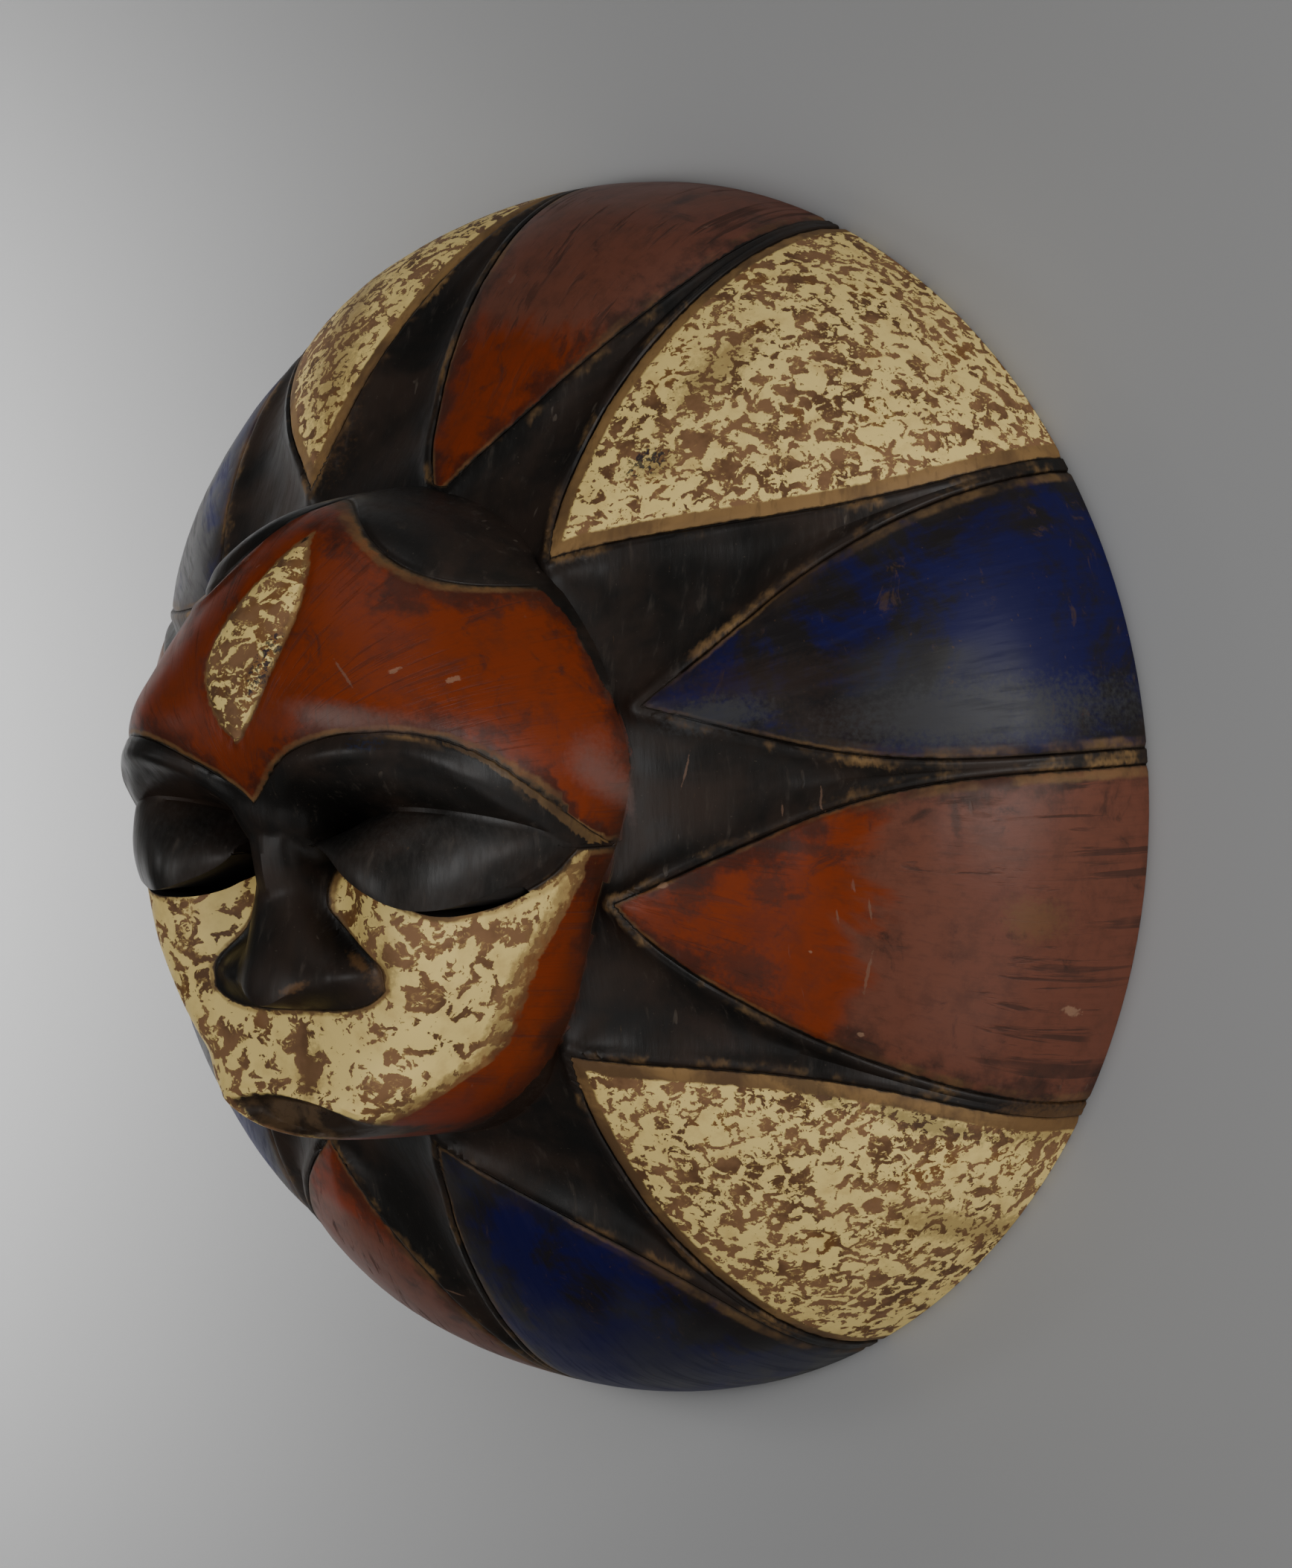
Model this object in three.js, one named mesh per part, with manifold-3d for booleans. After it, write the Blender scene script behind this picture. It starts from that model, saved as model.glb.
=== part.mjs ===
// A round mask carved from one piece of wood, lying on its back with the face up.
// Millimetres and degrees. +Z is up and +Y is the top of the head.
// The origin is the middle of the rim's underside.
import * as THREE from "three";
import { mergeVertices } from "three/addons/utils/BufferGeometryUtils.js";
import Module from "manifold-3d";

// The domed disc and its hollow back.
const rimRadius = 200;
const rimRise = 3.5; // the rim reaches this much farther at the top and the bottom of the head
const domeHeight = 124;
const domeSwell = 8; // extra height of the dome where it meets the face
const rimWall = 14;
const hollowHeight = 111;
const pocketRise = 60; // the hollow is this much deeper behind the face
const pocketShare = 0.88; // the pocket's outline against the face's outline

// The face's outline, measured from a centre a little above the origin, and its height.
const faceCentreY = 12;
const faceHalfLeft = 91.5;
const faceHalfRight = 87.5;
const faceToCrown = 89.5;
const faceToChin = 117;
const faceBase = 105;
const foreheadHeight = 202;
const lipHeight = 180;

// The brows are one arch each, from the root of the nose to the temple.
const browPeakX = 50;
const browPeakY = 26;
const browRootDrop = 21.5;
const browEndX = 80.5;
const browEndY = -11;

// The eyes are almonds with lowered lids and a slit under each lid.
const eyeInnerX = 14;
const eyeOuterX = 78;
const eyeCornerY = -9;
const lidRiseRight = 11.5;
const lidRiseLeft = 15.5;
const lidFallRight = 18.3;
const lidFallLeft = 13;
const lidBulge = 6.5;
const socketDepth = 21;
const slitInner = 5.6;
const slitOuter = 2.4;
const slitBelowLid = 1.5; // the row of the face that follows the slit

// The nose is a narrow ridge over a flange that widens to the wings.
const noseRootY = 4;
const bridgeY = -14;
const bridgeHeight = 185;
const noseTipHeight = 197;
const noseTipY = -56;
const noseEndY = -59.5;
const noseHalfBridge = 15.5;
const noseHalfWings = 35.5;
const noseWingsX = 4.5; // the wings sit this far to the right
const noseEndRise = 6.5;

// The mouth, the leaf on the forehead and the scalloped hairline.
const mouthY = -93.5;
const mouthHalfWidth = 27.5;
const mouthHalfHeight = 7;
const mouthSlant = 0.12;
const mouthDepth = 6;
const leafBottomY = 23;
const leafTopY = 87;
const leafHalfWidth = 14.8;
const scallopTopX = -3;
const scallopTopY = 97.5;
const scallopDrop = 29;
const scallopReach = 60;
const lobeHeight = 4;

// Eleven petals share the rim, counter-clockwise from the top left. Each has a tip, and two sides that
// are given by their angle at the rim and their bend. With a high bend a side turns out close to the tip.
const petals = [
  { paint: "cream", tipAngle: 117.4, tipRadius: 114, start: [94, 1.4], end: [124.5, 3.1] },
  { paint: "blue", tipAngle: 146, tipRadius: 122, start: [126.2, 1.2], end: [158.5, 2.5] },
  { paint: "red", tipAngle: 180, tipRadius: 108, start: [160.5, 2.5], end: [194.5, 2.5] },
  { paint: "blue", tipAngle: 212, tipRadius: 112, start: [196.5, 2.5], end: [231, 2.5] },
  { paint: "red", tipAngle: 240.6, tipRadius: 126, start: [233, 2.8], end: [262.5, 1.85] },
  { paint: "blue", tipAngle: 268.2, tipRadius: 107, start: [264.2, 7], end: [294.8, 2.7] },
  { paint: "cream", tipAngle: 306.8, tipRadius: 97, start: [296.2, 5.2], end: [328.6, 2.55] },
  { paint: "red", tipAngle: 339.6, tipRadius: 86.5, start: [330.2, 5.5], end: [362, 3] },
  { paint: "blue", tipAngle: 378.5, tipRadius: 96, start: [363.5, 2.95], end: [389.8, 2.6] },
  { paint: "cream", tipAngle: 413.2, tipRadius: 95, start: [391.2, 2.1], end: [424.4, 5.7] },
  { paint: "red", tipAngle: 443.4, tipRadius: 96, start: [426, 2], end: [452.3, 6.5] },
];
const petalReach = 60; // no petal reaches farther than this, in degrees, from its tip
const petalSwell = 2.6;
const wedgeDepth = 5.5;
const ridgeHeight = 1.5;
const ridgeOffset = 2.6;
const grooveDepth = 1.3;

// How finely the surfaces are divided.
const petalColumns = [0, 0.06, 0.25, 0.5, 0.75, 0.94, 1];
const wedgeColumns = ["ridge", 0.3, 0.5, 0.7, "ridge"];
const domeRows = 14;
const domeInnerRadius = 74; // the dome runs on under the face as far as this
const faceColumns = 44;
const leastRow = 0.012; // least share of the face's height between two rows
const pocketRings = [0.3, 0.55, 0.75, 0.87, 0.94, 0.98, 1];
const hollowRows = 7;
const hollowColumns = 60;
const slitSteps = 12;
const tipShare = 5; // least half-width, in degrees, of the columns that follow a petal
const hiddenBase = 88; // the face's underside, inside the dome

const radians = THREE.MathUtils.degToRad;
const clamp = THREE.MathUtils.clamp;
const lerp = THREE.MathUtils.lerp;

// A smooth step from 0 at a to 1 at b, where b may lie below a.
function ease(a, b, x) {
  const t = clamp((x - a) / (b - a), 0, 1);
  return t * t * (3 - 2 * t);
}

function hill(x, width) {
  return Math.exp(-((x / width) ** 2));
}

// Rises from 0 to 1 and falls back to 0 as t runs from 0 to 1.
function arch(t) {
  return Math.max(Math.sin(Math.PI * t), 0);
}

// 0 at the centre of the face and 1 on its outline.
function faceShare(x, y) {
  const across = Math.abs(x) / (x < 0 ? faceHalfLeft : faceHalfRight);
  const along = y - faceCentreY;
  const power = along > 0 ? 1.65 : 1.5 + 0.5 * ease(-25, -105, y);
  const reach = along > 0 ? faceToCrown : faceToChin;
  return (across ** power + (Math.abs(along) / reach) ** power) ** (1 / power);
}

// The rim's radius in one direction.
function rimReach(angle) {
  return rimRadius + rimRise * Math.sin(angle) ** 4;
}

function domeZ(radius) {
  const share = clamp(radius / rimRadius, 0, 1);
  return domeHeight * Math.sqrt(1 - share ** 2) + domeSwell * ease(0.66, 0.44, share);
}

// The face without its features: rounded at the forehead, with steep sides at the chin.
function plainFaceZ(x, y) {
  const chin = ease(-72, -98, y);
  const power = 3.6 + 12.9 * ease(25, -62, y) ** 1.9 + 26 * chin;
  const top = lerp(foreheadHeight, lipHeight, ease(20, -62, y));
  const share = clamp(faceShare(x, y), 0, 1);
  const keptAtCrown = 1 - 0.07 * ease(55, 92, y);
  const edge = Math.sqrt(1 - share ** (30 + 40 * chin));
  return faceBase + (top - faceBase) * (1 - (keptAtCrown * share) ** power) ** 0.667 * edge;
}

function browY(across) {
  if (across < browPeakX) {
    return browPeakY - browRootDrop * ((browPeakX - across) / browPeakX) ** 2.2;
  }
  const toEnd = clamp((across - browPeakX) / (browEndX - browPeakX), 0, 1);
  return browEndY + (browPeakY - browEndY) * (1 - toEnd ** 2.2) ** 0.42;
}

// 0 at the inner corner of the eye and 1 at the outer corner.
function eyeShare(across) {
  return clamp((across - eyeInnerX) / (eyeOuterX - eyeInnerX), 0, 1);
}

function upperLidY(x) {
  const t = eyeShare(Math.abs(x));
  const rise = x > 0 ? lidRiseRight : lidRiseLeft;
  return eyeCornerY - 2 * t + rise * arch(t ** 1.2) ** 0.5;
}

function lowerLidY(x) {
  const t = eyeShare(Math.abs(x));
  const hang = x > 0 ? lidFallRight * arch(t ** 2.1) ** 0.9 : lidFallLeft * arch(t) ** 0.9;
  return eyeCornerY - 2 * t - hang;
}

function scallopY(x) {
  const along = clamp(Math.abs(x - scallopTopX) / scallopReach, 0, 1.6);
  return scallopTopY - scallopDrop * arch(along / 2) ** 1.78;
}

// Signed distance from the leaf's border, positive inside.
function leafInset(x, y) {
  const t = clamp((y - leafBottomY) / (leafTopY - leafBottomY), 0, 1);
  const middle = 2 + 9 * ease(40, 78, y);
  return leafHalfWidth * arch(t ** 0.85) - Math.abs(x - middle);
}

// How far the socket, the lid and the cheek lie below the plain face. The lid on the left is flatter.
function eyeDrop(x, y, fade) {
  const across = Math.abs(x);
  const brow = browY(across);
  if (y >= brow) {
    return 0;
  }
  const t = eyeShare(across);
  const left = x < 0 ? 1 : 0;
  const upper = upperLidY(x);
  const lower = lowerLidY(x);
  const depth = (socketDepth - (11 + 7 * left) * ease(0.12, 0.85, t)) * fade;
  let drop;
  if (y > upper) {
    drop = depth * clamp((brow - y) / Math.max(brow - upper, 1), 0, 1) ** 2.6;
  } else if (y > lower) {
    const down = clamp((upper - y) / Math.max(upper - lower, 1), 0, 1);
    const bulge = (lidBulge - 8.5 * left * ease(0.3, 0.7, t)) * arch(t) ** 0.7;
    drop = depth * (1 - down) ** 2 - bulge * down ** 0.8;
  } else {
    drop = 4 * hill(lower - y, 14) * ease(0, 0.1, t) + depth * (1 - ease(0, 0.16, t)) * hill(lower - y, 9);
  }
  return drop * ease(6, 20, across) * ease(eyeOuterX + 3.5, eyeOuterX - 2, across);
}

// The distance from the nose's middle line.
function fromNose(x, y) {
  return Math.abs(x - noseWingsX * ease(-26, -48, y));
}

function noseUnderY(x) {
  return noseEndY + noseEndRise * (Math.min(Math.abs(x - noseWingsX), noseHalfWings) / noseHalfWings) ** 5;
}

// How far above the nose's lower end its underside has risen to full height.
function nostrilRise(x) {
  return 2.5 + 7 * ease(0, 18, Math.abs(x - noseWingsX));
}

// The nose raises the face where it stands above it.
function withNose(z, x, y) {
  const low = ease(-25, -50, y);
  const across = fromNose(x, y);
  const flangeHalf = lerp(noseHalfBridge, noseHalfWings, ease(-26, -48, y) ** 1.2);
  if (across >= flangeHalf) {
    return z;
  }
  const ridgeHalf = 10.5 + 6 * low + 5 * ease(bridgeY - 2, noseRootY, y);
  const crest = bridgeHeight + 9 * ease(bridgeY, noseRootY, y) +
    (noseTipHeight - bridgeHeight) * ease(bridgeY, noseTipY, y);
  const ridge = crest - 15 * (across / ridgeHalf) ** 2.2;
  const flange = lerp(bridgeHeight - 6, noseTipHeight - 9, low) - 9 * (across / flangeHalf) ** 4;
  const blend = clamp(0.5 + (ridge - flange) / 12, 0, 1);
  const nose = lerp(flange, ridge, blend) + 6 * blend * (1 - blend);
  const raised = ease(-0.15, 1.1, (y - noseUnderY(x)) / nostrilRise(x)) * ease(14, -8, y);
  return Math.max(z, lerp(z, nose, raised));
}

function mouthMiddleY(x) {
  return mouthY - mouthSlant * x;
}

function mouthRise(x) {
  return mouthHalfHeight * Math.sqrt(Math.max(1 - (x / mouthHalfWidth) ** 2, 0.05));
}

function faceZ(x, y) {
  const across = Math.abs(x);
  const share = faceShare(x, y);
  const fade = 1 - ease(0.86, 1, share);
  let z = plainFaceZ(x, y);
  z -= 8 * hill(across, 20) * hill(y - noseRootY, 15) * fade;
  z += 2 * hill(y - browY(across) - 9, 8) * ease(0, 30, across) * fade;
  z -= eyeDrop(x, y, fade);
  z -= 13 * hill(across - 20, 15) * hill(y + 20, 24) * fade;
  z = withNose(z, x, y);
  const mouth = Math.hypot(x / mouthHalfWidth, (y - mouthMiddleY(x)) / mouthHalfHeight);
  z += 1.5 * hill(mouth - 1.12, 0.18) - mouthDepth * ease(1, 0.6, mouth);
  const leaf = leafInset(x, y);
  z += 1.2 * ease(0, 5, leaf) - hill(leaf, 1.1);
  const aboveScallop = y - scallopY(x);
  z += lobeHeight * ease(0, 10, aboveScallop) * ease(70, 58, across) * ease(1, 0.93, share);
  z -= 2 * hill(aboveScallop, 1.6) * ease(70, 60, across);
  return z;
}

// How far a petal has run from its tip to the rim, where the rim is taken as round.
function petalShare(petal, radius) {
  return (radius - petal.tipRadius) / (rimRadius - petal.tipRadius);
}

// The angle of a petal's side at a radius.
function sideAngle(petal, [rimAngle, bend], radius) {
  const left = 1 - clamp(petalShare(petal, radius), 0, 1);
  return petal.tipAngle + (rimAngle - petal.tipAngle) * (1 - left ** bend);
}

// How far a point lies counter-clockwise from a petal's side, square to the side.
function besideSide(petal, side, radius, turn) {
  const [rimAngle, bend] = side;
  const share = clamp(petalShare(petal, radius), 0, 1);
  const sweep = radians(rimAngle - petal.tipAngle) * bend * (1 - share) ** (bend - 1);
  const slope = ((radius * sweep) / (rimRadius - petal.tipRadius)) * ease(0, 0.12, share);
  return (radius * (turn - radians(sideAngle(petal, side, radius) - petal.tipAngle))) / Math.hypot(1, slope);
}

// An angle in radians, brought within half a turn either way.
function wrapped(angle) {
  return THREE.MathUtils.euclideanModulo(angle + Math.PI, 2 * Math.PI) - Math.PI;
}

// Signed distance from the nearest petal's border, positive inside the petal.
function petalInset(x, y) {
  const angle = Math.atan2(y, x);
  const radius = (Math.hypot(x, y) * rimRadius) / rimReach(angle);
  const insets = petals.map((petal) => {
    const turn = wrapped(angle - radians(petal.tipAngle));
    if (Math.abs(turn) > radians(petalReach)) {
      return -Infinity;
    }
    if (radius < petal.tipRadius) {
      return -Math.hypot(petal.tipRadius - radius, radius * Math.sin(turn));
    }
    const fromStart = besideSide(petal, petal.start, radius, turn);
    return Math.min(fromStart, -besideSide(petal, petal.end, radius, turn));
  });
  return Math.max(...insets);
}

// A petal swells gently. A groove follows its border, then a ridge, and the wedge beyond is a hollow.
function petalRelief(inset) {
  const groove = grooveDepth * hill(inset - 0.4, 1);
  if (inset > 0) {
    return petalSwell * (1 - Math.exp(-inset / 14)) - groove;
  }
  const out = -inset;
  const ridge = ridgeHeight * hill(out - ridgeOffset, 1.9);
  return ridge - wedgeDepth * (1 - Math.exp(-Math.max(out - 2, 0) / 7)) - groove;
}

// A point of the dome with its relief, which stands up near the face and square to the surface near the rim.
function domePoint(angle, radius) {
  const share = clamp(radius / rimRadius, 0, 1);
  const reach = share * rimReach(angle);
  const point = new THREE.Vector3(reach * Math.cos(angle), reach * Math.sin(angle), domeZ(radius));
  const rise = Math.sqrt(1 - share ** 2) / domeHeight;
  const square = new THREE.Vector3(point.x / rimRadius ** 2, point.y / rimRadius ** 2, rise).normalize();
  const way = square.lerp(new THREE.Vector3(0, 0, 1), ease(0.75, 0.5, share)).normalize();
  const relief = petalRelief(petalInset(point.x, point.y));
  const kept = relief > 0 ? ease(1, 0.92, share) : 1;
  return point.addScaledVector(way, relief * kept);
}

// The angles of all columns on a ring, so that columns follow the petals' borders.
function ringAngles(radius) {
  const bands = petals.map((petal) => {
    const least = tipShare * (1 - clamp(petalShare(petal, radius) / 0.3, 0, 1));
    return {
      start: Math.min(sideAngle(petal, petal.start, radius), petal.tipAngle - least),
      end: Math.max(sideAngle(petal, petal.end, radius), petal.tipAngle + least),
    };
  });
  const angles = [];
  bands.forEach(({ start, end }, index) => {
    petalColumns.forEach((share) => angles.push(lerp(start, end, share)));
    const next = bands[(index + 1) % bands.length];
    const nextStart = next.start + (index + 1 === bands.length ? 360 : 0);
    const gap = nextStart - end;
    const ridge = Math.min(THREE.MathUtils.radToDeg(ridgeOffset / radius), 0.2 * gap);
    wedgeColumns.forEach((place, column) => {
      if (place !== "ridge") {
        angles.push(end + place * gap);
      } else {
        angles.push(column === 0 ? end + ridge : nextStart - ridge);
      }
    });
  });
  return angles.map(radians);
}

// The distance from the face's centre to its outline in one direction.
function outlineReach(angle) {
  let inside = 60;
  let outside = 140;
  for (let i = 0; i < 30; i++) {
    const reach = (inside + outside) / 2;
    const share = faceShare(reach * Math.cos(angle), faceCentreY + reach * Math.sin(angle));
    if (share < 1) {
      inside = reach;
    } else {
      outside = reach;
    }
  }
  return (inside + outside) / 2;
}

// A point of a square, from -1 to 1 each way, laid on the face so that the square's border is the outline.
function placeOnFace(p, q) {
  const across = p * Math.sqrt(1 - (q * q) / 2);
  const along = q * Math.sqrt(1 - (p * p) / 2);
  const angle = Math.atan2(along, across);
  const reach = Math.hypot(across, along) * outlineReach(angle);
  return new THREE.Vector2(reach * Math.cos(angle), faceCentreY + reach * Math.sin(angle));
}

// The carved lines that the face's rows follow, from the top down, with the number of rows down to each.
const faceBands = [
  { rows: 5, line: scallopY },
  { rows: 7, line: (x) => browY(Math.abs(x)) },
  { rows: 4, line: upperLidY },
  { rows: 5, line: lowerLidY },
  { rows: 1, line: (x) => lowerLidY(x) - slitBelowLid },
  { rows: 5, line: (x) => noseUnderY(x) + nostrilRise(x) },
  { rows: 2, line: noseUnderY },
  { rows: 4, line: (x) => mouthMiddleY(x) + mouthRise(x) },
  { rows: 3, line: (x) => mouthMiddleY(x) - mouthRise(x) },
  { rows: 2, line: () => -Infinity },
];

// The place of a line in one column of the square.
function placeOfLine(p, line) {
  let [below, over] = [-1, 1];
  for (let i = 0; i < 24; i++) {
    const middle = (below + over) / 2;
    const place = placeOnFace(p, middle);
    if (place.y > line(place.x)) {
      over = middle;
    } else {
      below = middle;
    }
  }
  return over;
}

// The levels of all rows in one column of the square.
function columnLevels(p) {
  const levels = [1];
  faceBands.forEach(({ rows, line }, index) => {
    const above = levels.at(-1);
    const rowsBelow = faceBands.slice(index + 1).reduce((sum, band) => sum + band.rows, 0);
    const last = rowsBelow === 0;
    const level = last ? -1 : clamp(placeOfLine(p, line), leastRow * rowsBelow - 1, above - leastRow * rows);
    const crowding = index === 0 ? 1.4 : 1;
    for (let row = 1; row <= rows; row++) {
      levels.push(lerp(above, level, (row / rows) ** crowding));
    }
  });
  return levels;
}

// The face as a block whose underside lies inside the dome.
function faceGeometry() {
  const points = [];
  const rows = 1 + faceBands.reduce((sum, band) => sum + band.rows, 0);
  for (let column = 0; column <= faceColumns; column++) {
    const t = (2 * column) / faceColumns - 1;
    const bent = Math.sign(t) * Math.sin((Math.PI / 2) * Math.abs(t));
    const p = clamp(lerp(t, bent, Math.abs(t)), -1, 1);
    columnLevels(p).forEach((q) => {
      const place = placeOnFace(p, q);
      points.push(new THREE.Vector3(place.x, place.y, faceZ(place.x, place.y)));
    });
  }
  const at = (column, row) => column * rows + row;
  const faces = [];
  for (let column = 0; column < faceColumns; column++) {
    for (let row = 0; row < rows - 1; row++) {
      const [a, b] = [at(column, row), at(column + 1, row)];
      const [c, d] = [at(column, row + 1), at(column + 1, row + 1)];
      if (column < faceColumns / 2) {
        faces.push(a, c, d, a, d, b);
      } else {
        faces.push(a, c, b, b, c, d);
      }
    }
  }
  const border = [];
  for (let row = 0; row < rows - 1; row++) {
    border.push(at(0, row));
  }
  for (let column = 0; column < faceColumns; column++) {
    border.push(at(column, rows - 1));
  }
  for (let row = rows - 1; row > 0; row--) {
    border.push(at(faceColumns, row));
  }
  for (let column = faceColumns; column > 0; column--) {
    border.push(at(column, 0));
  }
  const firstBelow = points.length;
  border.forEach((index) => points.push(points[index].clone().setZ(hiddenBase)));
  const middleBelow = points.length;
  points.push(new THREE.Vector3(0, faceCentreY, hiddenBase));
  border.forEach((index, k) => {
    const next = (k + 1) % border.length;
    faces.push(index, firstBelow + k, firstBelow + next, index, firstBelow + next, border[next]);
    faces.push(middleBelow, firstBelow + next, firstBelow + k);
  });
  const geometry = new THREE.BufferGeometry().setFromPoints(points);
  geometry.setIndex(faces);
  return geometry;
}

// The domed disc with its petals, in rings from under the face out to the rim.
function domeGeometry() {
  const rings = [];
  for (let row = 0; row <= domeRows; row++) {
    const share = row / domeRows;
    const alongArc = rimRadius * Math.cos(Math.acos(domeInnerRadius / rimRadius) * (1 - share));
    const radius = (alongArc + lerp(domeInnerRadius, rimRadius, share)) / 2;
    rings.push(ringAngles(radius).map((angle) => domePoint(angle, radius)));
  }
  return closedFromRings(new THREE.Vector3(0, 0, faceBase), rings, new THREE.Vector3(0, 0, 0));
}

// Joins rings of points, from a centre point outwards, and closes them with a flat face at a lower centre.
function closedFromRings(centre, rings, lowerCentre) {
  const count = rings[0].length;
  const points = [centre, ...rings.flat(), lowerCentre];
  const last = points.length - 1;
  const at = (ring, column) => 1 + ring * count + (column % count);
  const faces = [];
  for (let column = 0; column < count; column++) {
    faces.push(0, at(0, column), at(0, column + 1));
    faces.push(last, at(rings.length - 1, column + 1), at(rings.length - 1, column));
    for (let ring = 1; ring < rings.length; ring++) {
      const [a, b] = [at(ring - 1, column), at(ring - 1, column + 1)];
      const [c, d] = [at(ring, column), at(ring, column + 1)];
      faces.push(a, c, d, a, d, b);
    }
  }
  const geometry = new THREE.BufferGeometry().setFromPoints(points);
  geometry.setIndex(faces);
  return geometry;
}

// The hollow back: a bowl with a pocket behind the face, shallower along the line of the eyes.
function hollowZ(x, y, pocket) {
  const share = Math.hypot(x, y) / (rimRadius - rimWall);
  const bowl = hollowHeight * Math.sqrt(Math.max(1 - share ** 2, 0));
  return bowl + (pocketRise - 30 * hill(y + 12, 22)) * (1 - pocket ** 5) ** 0.75;
}

function hollowRing(reachAt, centreY, heightAt) {
  return Array.from({ length: hollowColumns }, (unused, column) => {
    const angle = (2 * Math.PI * column) / hollowColumns;
    const reach = reachAt(angle);
    const x = reach * Math.cos(angle);
    const y = centreY + reach * Math.sin(angle);
    return new THREE.Vector3(x, y, heightAt(x, y));
  });
}

function hollowGeometry() {
  const inner = rimRadius - rimWall;
  const pocketReach = (angle) => pocketShare * outlineReach(angle);
  const rings = pocketRings.map((share) =>
    hollowRing((angle) => share * pocketReach(angle), faceCentreY, (x, y) => hollowZ(x, y, share)),
  );
  for (let row = 1; row <= hollowRows; row++) {
    const share = row / hollowRows;
    const reach = (angle) => inner * Math.cos(Math.acos(pocketReach(angle) / inner) * (1 - share));
    rings.push(hollowRing(reach, faceCentreY * (1 - share), (x, y) => hollowZ(x, y, 1)));
  }
  rings.push(hollowRing(() => inner, 0, () => -rimWall));
  const middle = new THREE.Vector3(0, faceCentreY, hollowZ(0, faceCentreY, 0));
  return closedFromRings(middle, rings, new THREE.Vector3(0, 0, -rimWall));
}

// The slit that runs right through under one lowered lid.
function slitGeometry(side) {
  const upper = [];
  const lower = [];
  for (let step = 0; step <= slitSteps; step++) {
    const t = step / slitSteps;
    const x = side * lerp(eyeInnerX + 3, eyeOuterX - 7, t);
    const top = lowerLidY(x) + 0.4;
    upper.push(new THREE.Vector2(x, top));
    lower.push(new THREE.Vector2(x, top - lerp(slitInner, slitOuter, ease(0.1, 0.6, t))));
  }
  const shape = new THREE.Shape([...upper, ...lower.reverse()]);
  const geometry = new THREE.ExtrudeGeometry(shape, { depth: foreheadHeight, bevelEnabled: false });
  return geometry.translate(0, 0, rimWall);
}

const wasm = await Module();
wasm.setup();

function solidOf(geometry) {
  geometry.deleteAttribute("normal");
  geometry.deleteAttribute("uv");
  const merged = mergeVertices(geometry, 1e-4);
  return new wasm.Manifold(
    new wasm.Mesh({
      numProp: 3,
      vertProperties: new Float32Array(merged.attributes.position.array),
      triVerts: new Uint32Array(merged.index.array),
    }),
  );
}

function geometryOf(solid) {
  const mesh = solid.getMesh();
  const geometry = new THREE.BufferGeometry();
  geometry.setAttribute("position", new THREE.BufferAttribute(mesh.vertProperties, 3));
  geometry.setIndex(new THREE.BufferAttribute(mesh.triVerts, 1));
  geometry.computeVertexNormals();
  return geometry;
}

function carvedMask() {
  const front = solidOf(domeGeometry()).add(solidOf(faceGeometry()));
  const slits = solidOf(slitGeometry(-1)).add(solidOf(slitGeometry(1)));
  const solid = front.subtract(solidOf(hollowGeometry())).subtract(slits);
  const wood = new THREE.MeshStandardMaterial({ color: 0x2b211b, roughness: 0.5, metalness: 0 });
  const mask = new THREE.Mesh(geometryOf(solid), wood);
  mask.name = "carved_mask";
  return mask;
}

const model = new THREE.Group();
model.add(carvedMask());

export default model;
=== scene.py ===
"""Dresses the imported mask: one finely carved and painted piece, a pale floor, soft light and the camera."""
import logging
import math
from dataclasses import dataclass, field
from enum import Enum
from functools import reduce
from typing import Callable, Union

import bpy
import numpy as np
from mathutils import Matrix, Vector, noise


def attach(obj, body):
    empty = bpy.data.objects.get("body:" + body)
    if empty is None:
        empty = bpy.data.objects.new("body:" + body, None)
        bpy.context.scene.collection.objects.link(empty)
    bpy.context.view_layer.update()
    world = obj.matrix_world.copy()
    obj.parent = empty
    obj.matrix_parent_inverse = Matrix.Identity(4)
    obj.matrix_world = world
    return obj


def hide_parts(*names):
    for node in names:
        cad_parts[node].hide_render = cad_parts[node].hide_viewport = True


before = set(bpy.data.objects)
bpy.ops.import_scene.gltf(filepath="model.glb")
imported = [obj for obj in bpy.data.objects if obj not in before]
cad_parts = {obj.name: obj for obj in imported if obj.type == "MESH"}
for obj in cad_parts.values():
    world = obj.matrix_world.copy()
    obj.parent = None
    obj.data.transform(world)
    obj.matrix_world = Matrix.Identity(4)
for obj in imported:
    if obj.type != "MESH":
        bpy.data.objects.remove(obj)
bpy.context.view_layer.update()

log = logging.getLogger("mask")
MM = 0.001
Array = np.ndarray
Number = Union[float, Array]
Socket = bpy.types.NodeSocket
Value = Union[float, Socket]
Colour = tuple[float, float, float]


class Paint(Enum):
    """What a petal is painted with."""

    CREAM = "cream"
    RED = "red"
    BLUE = "blue"


class Side(Enum):
    """The two sides of the wood: the carved front and the plain back."""

    FRONT = 0
    HOLLOW = 1


def ease(a: float, b: float, x: Number) -> Array:
    """Steps smoothly from 0 to 1.

    Args:
        a: Where the step starts.
        b: Where it ends, above or below a.
        x: Where it is read.

    Returns:
        Values from 0 to 1.
    """
    t = np.clip((x - a) / (b - a), 0.0, 1.0)
    return t * t * (3 - 2 * t)


def hill(x: Number, width: float) -> Array:
    """Returns a bell curve of the given half-width."""
    return np.exp(-((x / width) ** 2))


@dataclass(frozen=True)
class Petal:
    """One petal: its paint, its tip, and each side's angle at the rim with how early the side gets there."""

    paint: Paint
    tip: tuple[float, float]
    start: tuple[float, float]
    end: tuple[float, float]


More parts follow.
